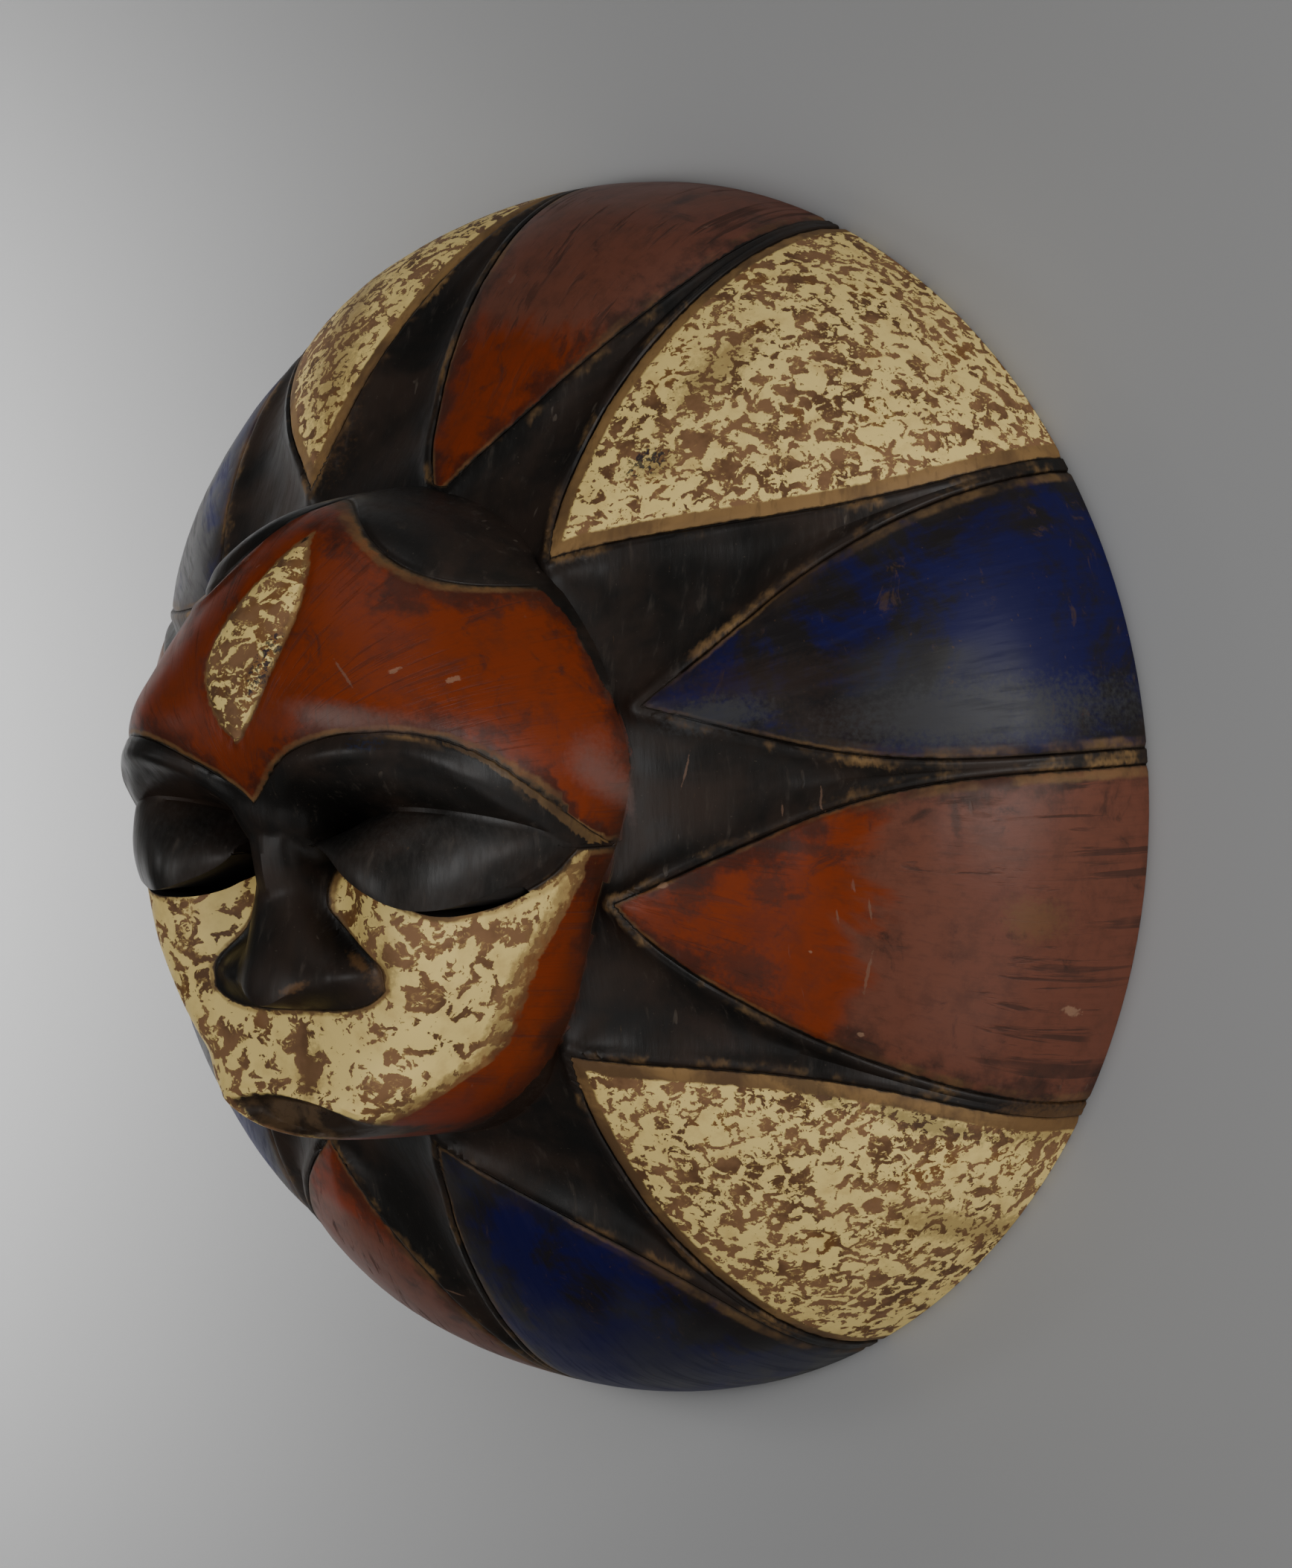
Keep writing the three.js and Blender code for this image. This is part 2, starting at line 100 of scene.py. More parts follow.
@dataclass
class FaceForm:
    """The raised face as a height over the plane of the rim, in millimetres.

    Each bare place on the cheek, where the cream has mostly gone, is its middle, half width and half height.
    """

    centre_y: float = 12.0
    half_widths: tuple[float, float] = (91.5, 87.5)
    to_crown: float = 89.5
    to_chin: float = 117.0
    base: float = 105.0
    forehead: float = 201.9
    lip: float = 180.0
    brow_bend: float = 50.0
    brow_end: float = 80.5
    temple_y: float = -11.0
    eye_y: float = -9.0
    eye_inner: float = 14.0
    eye_outer: float = 78.0
    lid_bulge: float = 6.5
    socket: float = 21.0
    nose_y: float = -59.5
    nose_lean: float = 4.5
    wing_half: float = 35.5
    mouth_y: float = -93.5
    mouth_tilt: float = 0.12
    mouth_half: tuple[float, float] = (27.5, 7.0)
    leaf_ends: tuple[float, float] = (23.0, 87.0)
    leaf_half: float = 14.2
    scallop_top: float = 97.5
    scallop_drop: float = 29.0
    bare_places: tuple[tuple[float, float, float, float], ...] = (
        (32.5, -20.0, 4.5, 12.0),
        (36.5, -41.0, 4.0, 10.0),
        (53.0, -36.5, 9.0, 5.0),
        (65.0, -38.0, 5.0, 3.5),
        (5.5, -72.0, 4.0, 9.0),
    )

    def share(self, x: Array, y: Array) -> Array:
        """Finds how far out points of the face lie.

        Args:
            x: Places across the face.
            y: Places up the face.

        Returns:
            0 at the centre of the face and 1 on its outline.
        """
        blunt = 1.5
        across = (np.sqrt(x * x + blunt**2) - blunt) / (np.where(x < 0, *self.half_widths) - blunt)
        along = y - self.centre_y
        power = np.where(along > 0, 1.65, 1.5 + 0.5 * ease(-25, -105, y))
        reach = np.where(along > 0, self.to_crown, self.to_chin)
        return (across**power + (np.abs(along) / reach) ** power) ** (1 / power)

    def plain(self, x: Array, y: Array) -> Array:
        """Finds the height of the face without its features.

        Args:
            x: Places across the face.
            y: Places up the face.

        Returns:
            Heights over the rim's plane.
        """
        chin = ease(-72, -98, y)
        power = 3.6 + 12.9 * ease(25, -62, y) ** 1.9 + 26 * chin
        top = self.forehead + (self.lip - self.forehead) * ease(20, -62, y)
        share = np.clip(self.share(x, y), 0, 1)
        crown = 1 - 0.07 * ease(55, 92, y)
        edge = np.sqrt(1 - share ** (30 + 40 * chin))
        return self.base + (top - self.base) * (1 - (crown * share) ** power) ** 0.667 * edge

    def brow(self, across: Array) -> Array:
        """Finds the brow's edge, which is highest at its bend and falls to the temple.

        Args:
            across: Distances from the face's middle line.

        Returns:
            The level of the edge.
        """
        bend, top = self.brow_bend, 26.0
        root = top - 21.5 * (np.clip(bend - across, 0, bend) / bend) ** 2.2
        way = np.clip((across - bend) / (self.brow_end - bend), 0, 1)
        temple = (top - self.temple_y) * (1 - way**2.2) ** 0.42 + self.temple_y
        return np.where(across < bend, root, temple)

    def over_brow(self, across: Array, y: Array) -> Array:
        """Finds the distance from the brow's edge.

        Args:
            across: Distances from the face's middle line.
            y: Places up the face.

        Returns:
            The distance, positive above the edge.
        """
        way = np.linspace(0, 1, 90)
        temple = self.brow_bend + (self.brow_end - self.brow_bend) * np.sin(np.pi / 2 * way)
        line = np.concatenate([self.brow_bend * way, temple])
        level = self.brow(line)
        nearest = np.full(np.shape(y), 1e3)
        for a, b in zip(line, level):
            nearest = np.minimum(nearest, np.hypot(across - a, y - b))
        return np.where(y > self.brow(across), nearest, -nearest)

    def eye_share(self, across: Array) -> Array:
        """Returns 0 at the inner corner of the eye and 1 at the outer corner."""
        return np.clip((across - self.eye_inner) / (self.eye_outer - self.eye_inner), 0, 1)

    def upper_lid(self, x: Array) -> Array:
        """Returns the level where the lid meets the socket, which is higher on the left."""
        t = self.eye_share(np.abs(x))
        return self.eye_y - 2 * t + np.where(x > 0, 11.5, 15.5) * np.sqrt(np.sin(np.pi * t**1.2) + 1e-9)

    def lower_lid(self, x: Array) -> Array:
        """Returns the level of the lid's lower edge, which hangs lowest near the temple on the right."""
        t = self.eye_share(np.abs(x))
        hang = (np.sin(np.pi * t ** np.where(x > 0, 2.1, 1.0)) + 1e-9) ** 0.9
        return self.eye_y - 2 * t - np.where(x > 0, 18.3, 13.0) * hang

    def scallop(self, x: Array) -> Array:
        """Finds the hairline's scallop, which falls fastest on the left of its peak.

        Args:
            x: Places across the face.

        Returns:
            The level of the scallop.
        """
        right = np.sin(np.pi / 2 * np.clip((x + 1) / 58, 0, 1.6)) ** 1.78
        left = np.sin(np.pi / 2 * np.clip(-(x + 1) / 34, 0, 1.6)) ** 0.9
        return self.scallop_top - self.scallop_drop * np.where(x > -1, right, left)

    def leaf(self, x: Array, y: Array) -> Array:
        """Measures how far points lie inside the leaf, which leans to the right towards its top.

        Args:
            x: Places across the face.
            y: Places up the face.

        Returns:
            The distance inside the leaf's border.
        """
        low, high = self.leaf_ends
        t = np.clip((y - low) / (high - low), 0, 1)
        beyond = np.maximum(np.maximum(low - y, y - high), 0)
        return self.leaf_half * np.sin(np.pi * t**0.85) - np.abs(x - 1.2 - 7.5 * ease(40, 78, y)) - beyond

    def nose_half(self, y: Array) -> Array:
        """Returns the half-width of the nose at its foot."""
        return 15.5 + 20 * ease(-26, -48, y) ** 1.2

    def from_nose(self, x: Array, y: Array) -> Array:
        """Returns the distance from the nose's middle line, which runs to the right at the wings."""
        return np.abs(x - self.nose_lean * ease(-26, -48, y))

    def nose_under(self, across: Array) -> Array:
        """Returns the level of the nose's lower end, which rises at the wings."""
        return self.nose_y + 6.5 * (np.minimum(across, self.wing_half) / self.wing_half) ** 5

    def mouth(self, x: Array, y: Array) -> Array:
        """Returns 0 in the middle of the mouth and 1 on its rim."""
        up = y - self.mouth_y + self.mouth_tilt * x
        return np.hypot(x / self.mouth_half[0], up / self.mouth_half[1])

    def _eye_drop(self, x: Array, y: Array, fade: Array) -> Array:
        """Finds how far the socket, the lid and the cheek lie below the plain face.

        Args:
            x: Places across the face.
            y: Places up the face.
            fade: 1 well inside the face and 0 on its outline.

        Returns:
            Depths, which are 0 above the brow.
        """
        across = np.abs(x)
        brow, upper, lower = self.brow(across), self.upper_lid(x), self.lower_lid(x)
        t = self.eye_share(across)
        left = np.where(x < 0, 1.0, 0.0)
        depth = (self.socket - (11 + 7 * left) * ease(0.12, 0.85, t)) * fade
        socket = depth * np.clip((brow - y) / np.maximum(brow - upper, 1), 0, 1) ** 2.6
        down = np.clip((upper - y) / np.maximum(upper - lower, 1), 0, 1)
        bulge = (self.lid_bulge - 8.5 * left * ease(0.3, 0.7, t)) * np.sin(np.pi * t) ** 0.7
        lid = depth * (1 - down) ** 2 - bulge * down**0.8
        below = np.maximum(lower - y, 0)
        cheek = 4 * hill(below, 14) * ease(0, 0.1, t) + depth * (1 - ease(0, 0.16, t)) * hill(below, 9)
        drop = np.where(y > upper, socket, np.where(y > lower, lid, cheek))
        over = y - upper
        crease = np.where(over > 0.05, 2.3 * np.exp(-np.maximum(over, 0) / 4.5), 0)
        drop = drop + crease * ease(0.0, 0.1, t) * ease(1.0, 0.94, t)
        drop = drop - 1.2 * np.sin(np.pi * down) ** 0.8 * ease(0.02, 0.2, t) * ease(1, 0.9, t)
        shown = ease(6, 20, across) * ease(self.eye_outer + 3.5, self.eye_outer - 2, across)
        return np.where(y < brow, drop * shown, 0)

    def _with_nose(self, z: Array, across: Array, y: Array) -> Array:
        """Lays the nose over the face.

        Args:
            z: The heights of the face.
            across: Distances from the nose's middle line.
            y: Places up the face.

        Returns:
            The heights of the face, or of the nose where it stands above it.
        """
        low = ease(-25, -50, y)
        half = self.nose_half(y)
        crest = 185 + 9 * ease(-14, 4, y) + 12 * ease(-14, -56, y)
        bridge = np.clip(across / (15 + 5 * low + 4 * ease(-16, 4, y)), 0, 1)
        ridge = crest - 19 * (1 - np.sqrt(1 - bridge**2))
        flange = 173 + 15 * low - 9 * (across / half) ** 4
        blend = np.clip(0.5 + (ridge - flange) / 12, 0, 1)
        nose = flange + (ridge - flange) * blend + 6 * blend * (1 - blend)
        under = self.nose_under(across)
        raised = ease(-0.15, 1.1, (y - under) / (2.5 + 7 * ease(0, 18, across))) * ease(14, -8, y)
        return np.where(across < half, np.maximum(z, z + (nose - z) * raised), z)

    def height(self, x: Array, y: Array) -> Array:
        """Returns the carved height of the face with its fine lines.

        Args:
            x: Places across the face.
            y: Places up the face.

        Returns:
            Heights over the rim's plane.
        """
        across = np.abs(x)
        share = self.share(x, y)
        fade = 1 - ease(0.86, 1, share)
        over_brow = self.over_brow(across, y)
        z = self.plain(x, y)
        z = z - 8 * hill(across, 20) * hill(y - 4, 15) * fade
        z = z + 2 * hill(over_brow - 9, 8) * ease(0, 30, across) * fade
        z = z - self._eye_drop(x, y, fade)
        roll = 2.2 * hill(over_brow + 5.5, 3.4) * (over_brow < 0) - 1.1 * hill(over_brow - 0.6, 0.8)
        z = z + roll * ease(4, 14, across) * ease(self.brow_end, 77, across)
        z = z - 13 * hill(across - 20, 15) * hill(y + 20, 24) * fade
        z = self._with_nose(z, self.from_nose(x, y), y)
        mouth = self.mouth(x, y)
        z = z + 1.5 * hill(mouth - 1.12, 0.18) - 6 * ease(1, 0.6, mouth)
        leaf = self.leaf(x, y)
        z = z + 1.2 * ease(0, 5, leaf) - 1.1 * hill(leaf, 0.9)
        over = y - self.scallop(x)
        ends = ease(70, 60, across)
        z = z + 4 * ease(0, 10, over) * ease(70, 58, across) * ease(1, 0.93, share)
        return z + (-1.9 * hill(over, 1.1) + 1.1 * hill(over + 3, 1.7)) * ends


@dataclass
class DiscForm:
    """The domed disc with its petals, counter-clockwise from the top left, in millimetres and degrees."""

    rim: float = 199.6
    rise: float = 3.5
    dome: float = 124.0
    swell: float = 8.0
    petals: tuple[Petal, ...] = (
        Petal(Paint.CREAM, (117.4, 114), (94, 1.4), (124.5, 3.1)),
        Petal(Paint.BLUE, (146, 122), (126.2, 1.2), (158.5, 2.5)),
        Petal(Paint.RED, (180, 108), (160.5, 2.5), (194.5, 2.5)),
        Petal(Paint.BLUE, (212, 112), (196.5, 2.5), (231, 2.5)),
        Petal(Paint.RED, (240.6, 126), (233, 2.8), (262.5, 1.85)),
        Petal(Paint.BLUE, (268.2, 107), (264.2, 7), (294.8, 2.7)),
        Petal(Paint.CREAM, (306.8, 97), (296.2, 5.2), (328.6, 2.55)),
        Petal(Paint.RED, (339.6, 86.5), (330.2, 5.5), (362, 3)),
        Petal(Paint.BLUE, (378.5, 96), (363.5, 2.95), (389.8, 2.6)),
        Petal(Paint.CREAM, (413.2, 95), (391.2, 2.1), (424.4, 5.7)),
        Petal(Paint.RED, (443.4, 96), (426, 2), (452.3, 6.5)),
    )

    def reach(self, angle: Array) -> Array:
        """Returns the rim's radius, a little more towards the top and the bottom of the head."""
        return self.rim + self.rise * np.sin(angle) ** 4

    def rounded(self, x: Array, y: Array) -> Array:
        """Returns the distance from the middle as it would be on a round rim."""
        return np.hypot(x, y) * self.rim / self.reach(np.arctan2(y, x))

    def height(self, radius: Array) -> Array:
        """Returns the height of the plain dome."""
        share = np.clip(radius / self.rim, 0, 1)
        return self.dome * np.sqrt(1 - share**2) + self.swell * ease(0.66, 0.44, share)

    def sides(self, petal: Petal, radius: Array) -> tuple[Array, Array, Array]:
        """Finds where a petal's sides run.

        Args:
            petal: The petal.
            radius: Distances from the middle.

        Returns:
            The share of the way from the tip to the rim, and the angles of the two sides.
        """
        tip, start = petal.tip
        share = (radius - start) / (self.rim - start)
        left = 1 - np.clip(share, 0, 1)
        first, second = (tip + (angle - tip) * (1 - left**bend) for angle, bend in (petal.start, petal.end))
        return share, first, second

    def _beside(self, petal: Petal, side: tuple[float, float], radius: Array, turn: Array) -> Array:
        """Measures how far points lie from one side of a petal.

        Args:
            petal: The petal.
            side: The side's angle at the rim and how early it gets there.
            radius: Distances from the middle.
            turn: Angles from the petal's tip, in radians.

        Returns:
            The distance, positive counter-clockwise from the side.
        """
        length = self.rim - petal.tip[1]
        s = np.clip((radius - petal.tip[1]) / length, 0, 1)
        whole, bend = math.radians(side[0] - petal.tip[0]), side[1]
        slope = radius * whole * bend * (1 - s) ** (bend - 1) / length
        return radius * (turn - whole * (1 - (1 - s) ** bend)) / np.sqrt(1 + (slope * ease(0, 0.12, s)) ** 2)

    def inset(self, x: Array, y: Array) -> tuple[Array, Array]:
        """Measures how far points lie inside the nearest petal.

        Args:
            x: Places across the disc.
            y: Places up the disc.

        Returns:
            The distance from the border, positive inside, and the petal's number.
        """
        radius, angle = self.rounded(x, y), np.arctan2(y, x)
        best = np.full(radius.shape, -1e3)
        which = np.zeros(radius.shape, dtype=int)
        for index, petal in enumerate(self.petals):
            turn = (angle - math.radians(petal.tip[0]) + np.pi) % (2 * np.pi) - np.pi
            after_start = self._beside(petal, petal.start, radius, turn)
            inset = np.minimum(after_start, -self._beside(petal, petal.end, radius, turn))
            before = -np.hypot(petal.tip[1] - radius, radius * np.sin(turn))
            inset = np.where(radius < petal.tip[1], before, inset)
            inset = np.where(np.abs(turn) > 1.05, -1e3, inset)
            which = np.where(inset > best, index, which)
            best = np.maximum(best, inset)
        return best, which

    def relief(self, inset: Array) -> Array:
        """Shapes the carving across a border.

        Args:
            inset: Distances inside the border.

        Returns:
            Heights over the dome: a swelling petal, a cut groove, a soft shoulder and a hollow wedge.
        """
        groove = 0.9 * hill(inset, 0.55)
        out = np.maximum(-inset, 0)
        petal = 2.6 * (1 - np.exp(-np.maximum(inset, 0) / 14))
        wedge = 0.9 * hill(out - 2.4, 2.2) - 5.3 * (1 - np.exp(-((out / 9) ** 1.3)))
        return np.where(inset > 0, petal, wedge) - groove

    def place(self, angle: Array, radius: Array) -> Array:
        """Returns points of the carved disc.

        Args:
            angle: Angles in radians.
            radius: Distances from the middle.

        Returns:
            An array of points, with the relief square to the dome near the rim and upright near the face.
        """
        reach = radius / self.rim * self.reach(angle)
        x, y = reach * np.cos(angle), reach * np.sin(angle)
        share = np.clip(radius / self.rim, 0, 1)
        square = np.stack([x / self.rim**2, y / self.rim**2, np.sqrt(1 - share**2) / self.dome], -1)
        square /= np.linalg.norm(square, axis=-1, keepdims=True)
        upright = ease(0.75, 0.5, share)[..., None]
        way = square * (1 - upright) + np.array([0.0, 0.0, 1.0]) * upright
        way /= np.linalg.norm(way, axis=-1, keepdims=True)
        relief = self.relief(self.inset(x, y)[0])
        relief = np.where(relief > 0, relief * ease(1, 0.92, share), relief)
        return np.stack([x, y, self.height(radius)], -1) + way * relief[..., None]


@dataclass
class CarvedMask:
    """The whole mask, carved from one block: the disc, the face, the hollow back and the eye slits.

    The band rows count the rows of the face between one carved line and the next, from the top down. The
    pocket lies behind the face and the bowl round it.
    """

    materials: tuple[bpy.types.Material, bpy.types.Material]
    face: FaceForm = field(default_factory=FaceForm)
    disc: DiscForm = field(default_factory=DiscForm)
    petal_columns: int = 22
    wedge_columns: int = 16
    disc_rows: int = 96
    under_face: float = 74.0
    face_columns: int = 190
    band_rows: tuple[int, ...] = (20, 30, 18, 24, 5, 22, 10, 16, 14, 9)
    hidden_base: float = 88.0
    hollow_columns: int = 120
    pocket_rows: int = 22
    pocket_share: float = 0.88
    pocket_depth: float = 60.0
    behind_nose: float = 30.0
    bowl_rows: int = 26
    hollow_wall: float = 14.0
    hollow_height: float = 111.0
    slit_columns: int = 40
    slit_ends: tuple[float, float] = (14.0, 216.0)
    uneven_disc: float = 0.35
    uneven_face: float = 0.3
    uneven_hollow: float = 0.8

    def _grid(
        self, name: str, columns: int, rows: int, side: Side = Side.FRONT
    ) -> tuple[bpy.types.Object, Array, Array]:
        """Adds a flat grid with both materials.

        Args:
            name: The name of the grid's object.
            columns: The number of faces across.
            rows: The number of faces up.
            side: The side of the wood whose material the grid shows.

        Returns:
            The grid and each vertex's place in it, from 0 to 1 across and up.
        """
        bpy.ops.object.select_all(action="DESELECT")
        bpy.ops.mesh.primitive_grid_add(x_subdivisions=columns, y_subdivisions=rows, size=2)
        piece = bpy.context.object
        piece.name = name
        for material in self.materials:
            piece.data.materials.append(material)
        slots = np.full(len(piece.data.polygons), side.value, dtype=np.int32)
        piece.data.polygons.foreach_set("material_index", slots)
        flat = np.empty(len(piece.data.vertices) * 3)
        piece.data.vertices.foreach_get("co", flat)
        flat = flat.reshape(-1, 3)
        return piece, (flat[:, 0] + 1) / 2, (flat[:, 1] + 1) / 2

    @staticmethod
    def _move(piece: bpy.types.Object, points: Array) -> None:
        """Moves all vertices to new places, given in millimetres."""
        piece.data.vertices.foreach_set("co", (points * MM).ravel())
        piece.data.update()

    @staticmethod
    def _close(piece: bpy.types.Object, floor: float | None) -> None:
        """Merges the seam and closes the open end.

        Args:
            piece: The block to close.
            floor: The level that the open edges run down to first, if any.
        """
        bpy.ops.object.mode_set(mode="EDIT")
        bpy.ops.mesh.select_mode(type="VERT")
        bpy.ops.mesh.select_all(action="SELECT")
        bpy.ops.mesh.remove_doubles(threshold=1e-6)
        bpy.ops.mesh.select_all(action="DESELECT")
        bpy.ops.mesh.select_non_manifold(
            extend=False, use_wire=False, use_multi_face=False, use_non_contiguous=False, use_verts=False
        )
        if floor is not None:
            bpy.ops.mesh.extrude_edges_move()
            bpy.ops.object.mode_set(mode="OBJECT")
            for vertex in piece.data.vertices:
                if vertex.select:
                    vertex.co.z = floor * MM
            bpy.ops.object.mode_set(mode="EDIT")
        bpy.ops.mesh.edge_face_add()
        bpy.ops.mesh.select_all(action="SELECT")
        bpy.ops.mesh.normals_make_consistent(inside=False)
        bpy.ops.object.mode_set(mode="OBJECT")

    def _column_angles(self, radius: Array, shares: Array) -> Array:
        """Finds the angles of the disc's columns at each radius, so that they follow the petals.

        Args:
            radius: Distances from the middle, one for each vertex.
            shares: Where each vertex lies round the disc, from 0 to 1.

        Returns:
            Angles in radians.
        """
        count = len(self.disc.petals)
        per = self.petal_columns + self.wedge_columns
        column = np.round(shares * per * count).astype(int)
        index, within = (column // per) % count, column % per
        turn = 360.0 * (column // (per * count))
        spans = []
        for petal in self.disc.petals:
            share, start, end = self.disc.sides(petal, radius)
            least = 5 * (1 - np.clip(share / 0.3, 0, 1))
            spans.append((np.minimum(start, petal.tip[0] - least), np.maximum(end, petal.tip[0] + least)))
        starts, ends = np.stack([span[0] for span in spans]), np.stack([span[1] for span in spans])
        every = np.arange(radius.size)
        left, right = starts[index, every], ends[index, every]
        after = starts[(index + 1) % count, every] + 360 * ((index + 1) // count)
        in_petal = within <= self.petal_columns
        t = np.clip(within / self.petal_columns, 0, 1)
        t = t - 0.09 * np.sin(2 * np.pi * t)
        petal_angle = left + (right - left) * t
        w = np.clip((within - self.petal_columns) / self.wedge_columns, 0, 1)
        w = w - 0.13 * np.sin(2 * np.pi * w)
        wedge_angle = right + (after - right) * w
        return np.radians(np.where(in_petal, petal_angle, wedge_angle) + turn)

    def _disc_block(self) -> bpy.types.Object:
        """Builds the domed disc with its petals.

        Returns:
            The disc as a closed block.
        """
        columns = (self.petal_columns + self.wedge_columns) * len(self.disc.petals)
        piece, u, v = self._grid("disc_block", columns, self.disc_rows)
        arc = self.disc.rim * np.cos(np.arccos(self.under_face / self.disc.rim) * (1 - v))
        radius = 0.5 * arc + 0.5 * (self.under_face + (self.disc.rim - self.under_face) * v)
        angle = self._column_angles(radius, u)
        self._move(piece, self._hand_carved(self.disc.place(angle, radius), self.uneven_disc))
        self._close(piece, None)
        return piece

    def _outline_reach(self, angle: Array) -> Array:
        """Finds the outline of the face by halving.

        Args:
            angle: Angles in radians.

        Returns:
            The distance from the face's centre to its outline.
        """
        low, high = np.full(angle.shape, 60.0), np.full(angle.shape, 140.0)
        for _ in range(30):
            reach = (low + high) / 2
            inside = self.face.share(reach * np.cos(angle), self.face.centre_y + reach * np.sin(angle)) < 1
            low, high = np.where(inside, reach, low), np.where(inside, high, reach)
        return (low + high) / 2

    def _on_face(self, p: Array, q: Array) -> tuple[Array, Array]:
        """Lays points of a square on the face so that the square's border is the face's outline.

        Args:
            p: Places across the square, from -1 to 1.
            q: Places up the square, from -1 to 1.

        Returns:
            The places across and up the face.
        """
        across, along = p * np.sqrt(1 - q * q / 2), q * np.sqrt(1 - p * p / 2)
        angle = np.arctan2(along, across)
        reach = np.hypot(across, along) * self._outline_reach(angle)
        return reach * np.cos(angle), self.face.centre_y + reach * np.sin(angle)

    def _lines(self) -> tuple[Callable[[Array], Array], ...]:
        """Gathers the carved lines that the rows of the face follow.

        Returns:
            One function for each line, from the top down, that gives its level.
        """
        f = self.face

        def nose_end(x: Array) -> Array:
            """Returns the lower end of the nose."""
            return f.nose_under(np.abs(x - f.nose_lean))

        def lip(x: Array, sign: int) -> Array:
            """Returns the upper or the lower rim of the mouth."""
            half = f.mouth_half[1] * np.sqrt(np.maximum(1 - (x / f.mouth_half[0]) ** 2, 0.05))
            return f.mouth_y - f.mouth_tilt * x + sign * half

        return (
            f.scallop,
            lambda x: f.brow(np.abs(x)),
            f.upper_lid,
            f.lower_lid,
            lambda x: f.lower_lid(x) - 1.5,
            lambda x: nose_end(x) + 2.5 + 7 * ease(0, 18, np.abs(x - f.nose_lean)),
            nose_end,
            lambda x: lip(x, 1),
            lambda x: lip(x, -1),
            lambda x: np.full(np.shape(x), -1e3),
        )

    def _levels(self, p: Array) -> Array:
        """Finds the level of every row of the face's square, so that the rows follow the carved lines.

        Args:
            p: Where the columns lie across the square.

        Returns:
            The level of each row in each column, from 1 down to -1.
        """
        least = 0.0026
        rows = [np.ones(p.shape)]
        above = rows[0]
        lines = self._lines()
        for index, (count, line) in enumerate(zip(self.band_rows, lines)):
            low, high = np.full(p.shape, -1.0), np.full(p.shape, 1.0)
            for _ in range(24):
                middle = (low + high) / 2
                x, y = self._on_face(p, middle)
                over = y > line(x)
                high, low = np.where(over, middle, high), np.where(over, low, middle)
            left = sum(self.band_rows[index + 1:])
            level = np.minimum(np.maximum(high, least * left - 1), above - least * count)
            if index == len(lines) - 1:
                level = np.full(p.shape, -1.0)
            for row in range(1, count + 1):
                t = (row / count) ** (1.4 if index == 0 else 1.0)
                rows.append(above + (level - above) * t)
            above = level
        return np.stack(rows, 0)

    def _face_block(self) -> bpy.types.Object:
        """Builds the raised face.

        Returns:
            The face as a block whose underside lies inside the disc.
        """
        rows = sum(self.band_rows)
        piece, u, v = self._grid("face_block", self.face_columns, rows)
        out = 2 * u - 1
        size = np.abs(out)
        p = np.clip(np.sign(out) * ((1 - size) * size + size * np.sin(np.pi / 2 * size)), -1, 1)
        column = np.round(u * self.face_columns).astype(int)
        row = np.round((1 - v) * rows).astype(int)
        first = np.zeros(self.face_columns + 1)
        first[column] = p
        q = self._levels(first)[row, column]
        x, y = self._on_face(p, q)
        points = np.stack([x, y, self.face.height(x, y)], -1)
        self._move(piece, self._hand_carved(points, self.uneven_face))
        self._close(piece, self.hidden_base)
        return piece

    def _hollow_block(self) -> bpy.types.Object:
        """Builds the block that hollows out the back.

        Returns:
            The block, a bowl with a pocket behind the face.
        """
        rows = self.pocket_rows + self.bowl_rows
        piece, u, v = self._grid("hollow_block", self.hollow_columns, rows, Side.HOLLOW)
        angle = 2 * np.pi * u
        row = np.round(v * rows)
        inner = self.disc.rim - self.hollow_wall
        pocket_reach = self.pocket_share * self._outline_reach(angle)
        pocket = np.sin(np.pi / 2 * np.clip(row / self.pocket_rows, 0, 1))
        out = np.clip((row - self.pocket_rows) / self.bowl_rows, 0, 1)
        bowl_reach = inner * np.cos(np.arccos(pocket_reach / inner) * (1 - out))
        reach = np.where(row <= self.pocket_rows, pocket * pocket_reach, bowl_reach)
        x = reach * np.cos(angle)
        y = self.face.centre_y * (1 - out) + reach * np.sin(angle)
        bowl = self.hollow_height * np.sqrt(np.maximum(1 - (np.hypot(x, y) / inner) ** 2, 0))
        depth = self.pocket_depth - self.behind_nose * hill(y + 12, 22)
        height = bowl + depth * np.maximum(1 - pocket**5, 0) ** 0.75
        self._move(piece, self._hand_carved(np.stack([x, y, height], -1), self.uneven_hollow))
        self._close(piece, -self.hollow_wall)
        return piece

    def _slit_block(self, side: int) -> bpy.types.Object:
        """Builds the block that cuts a slit right through under one lid.

        Args:
            side: 1 for the right eye and -1 for the left one.

        Returns:
            The block.
        """
        piece, u, v = self._grid("slit_block", self.slit_columns, 2, Side.HOLLOW)
        x = side * (self.face.eye_inner + 3 + (self.face.eye_outer - self.face.eye_inner - 10) * u)
        top = self.face.lower_lid(x) + 0.4
        y = top - (5.6 - 3.2 * ease(0.1, 0.6, u)) * (1 - v)
        inside, above = self.slit_ends
        self._move(piece, np.stack([x, y, np.full(x.shape, above)], -1))
        self._close(piece, inside)
        return piece

    @staticmethod
    def _hand_carved(points: Array, size: float) -> Array:
        """Adds the slight unevenness of hand carving to points, in millimetres.

        Args:
            points: The points of a surface.
            size: About how far the heights change either way.

        Returns:
            The points with their heights changed.
        """
        waves = ((1.0, 0.055), (0.5, 0.13))
        wavy = [sum(share * noise.noise(Vector(point * scale)) for share, scale in waves) for point in points]
        moved = points.copy()
        moved[:, 2] += size * np.array(wavy) * ease(2, 40, points[:, 2])
        return moved

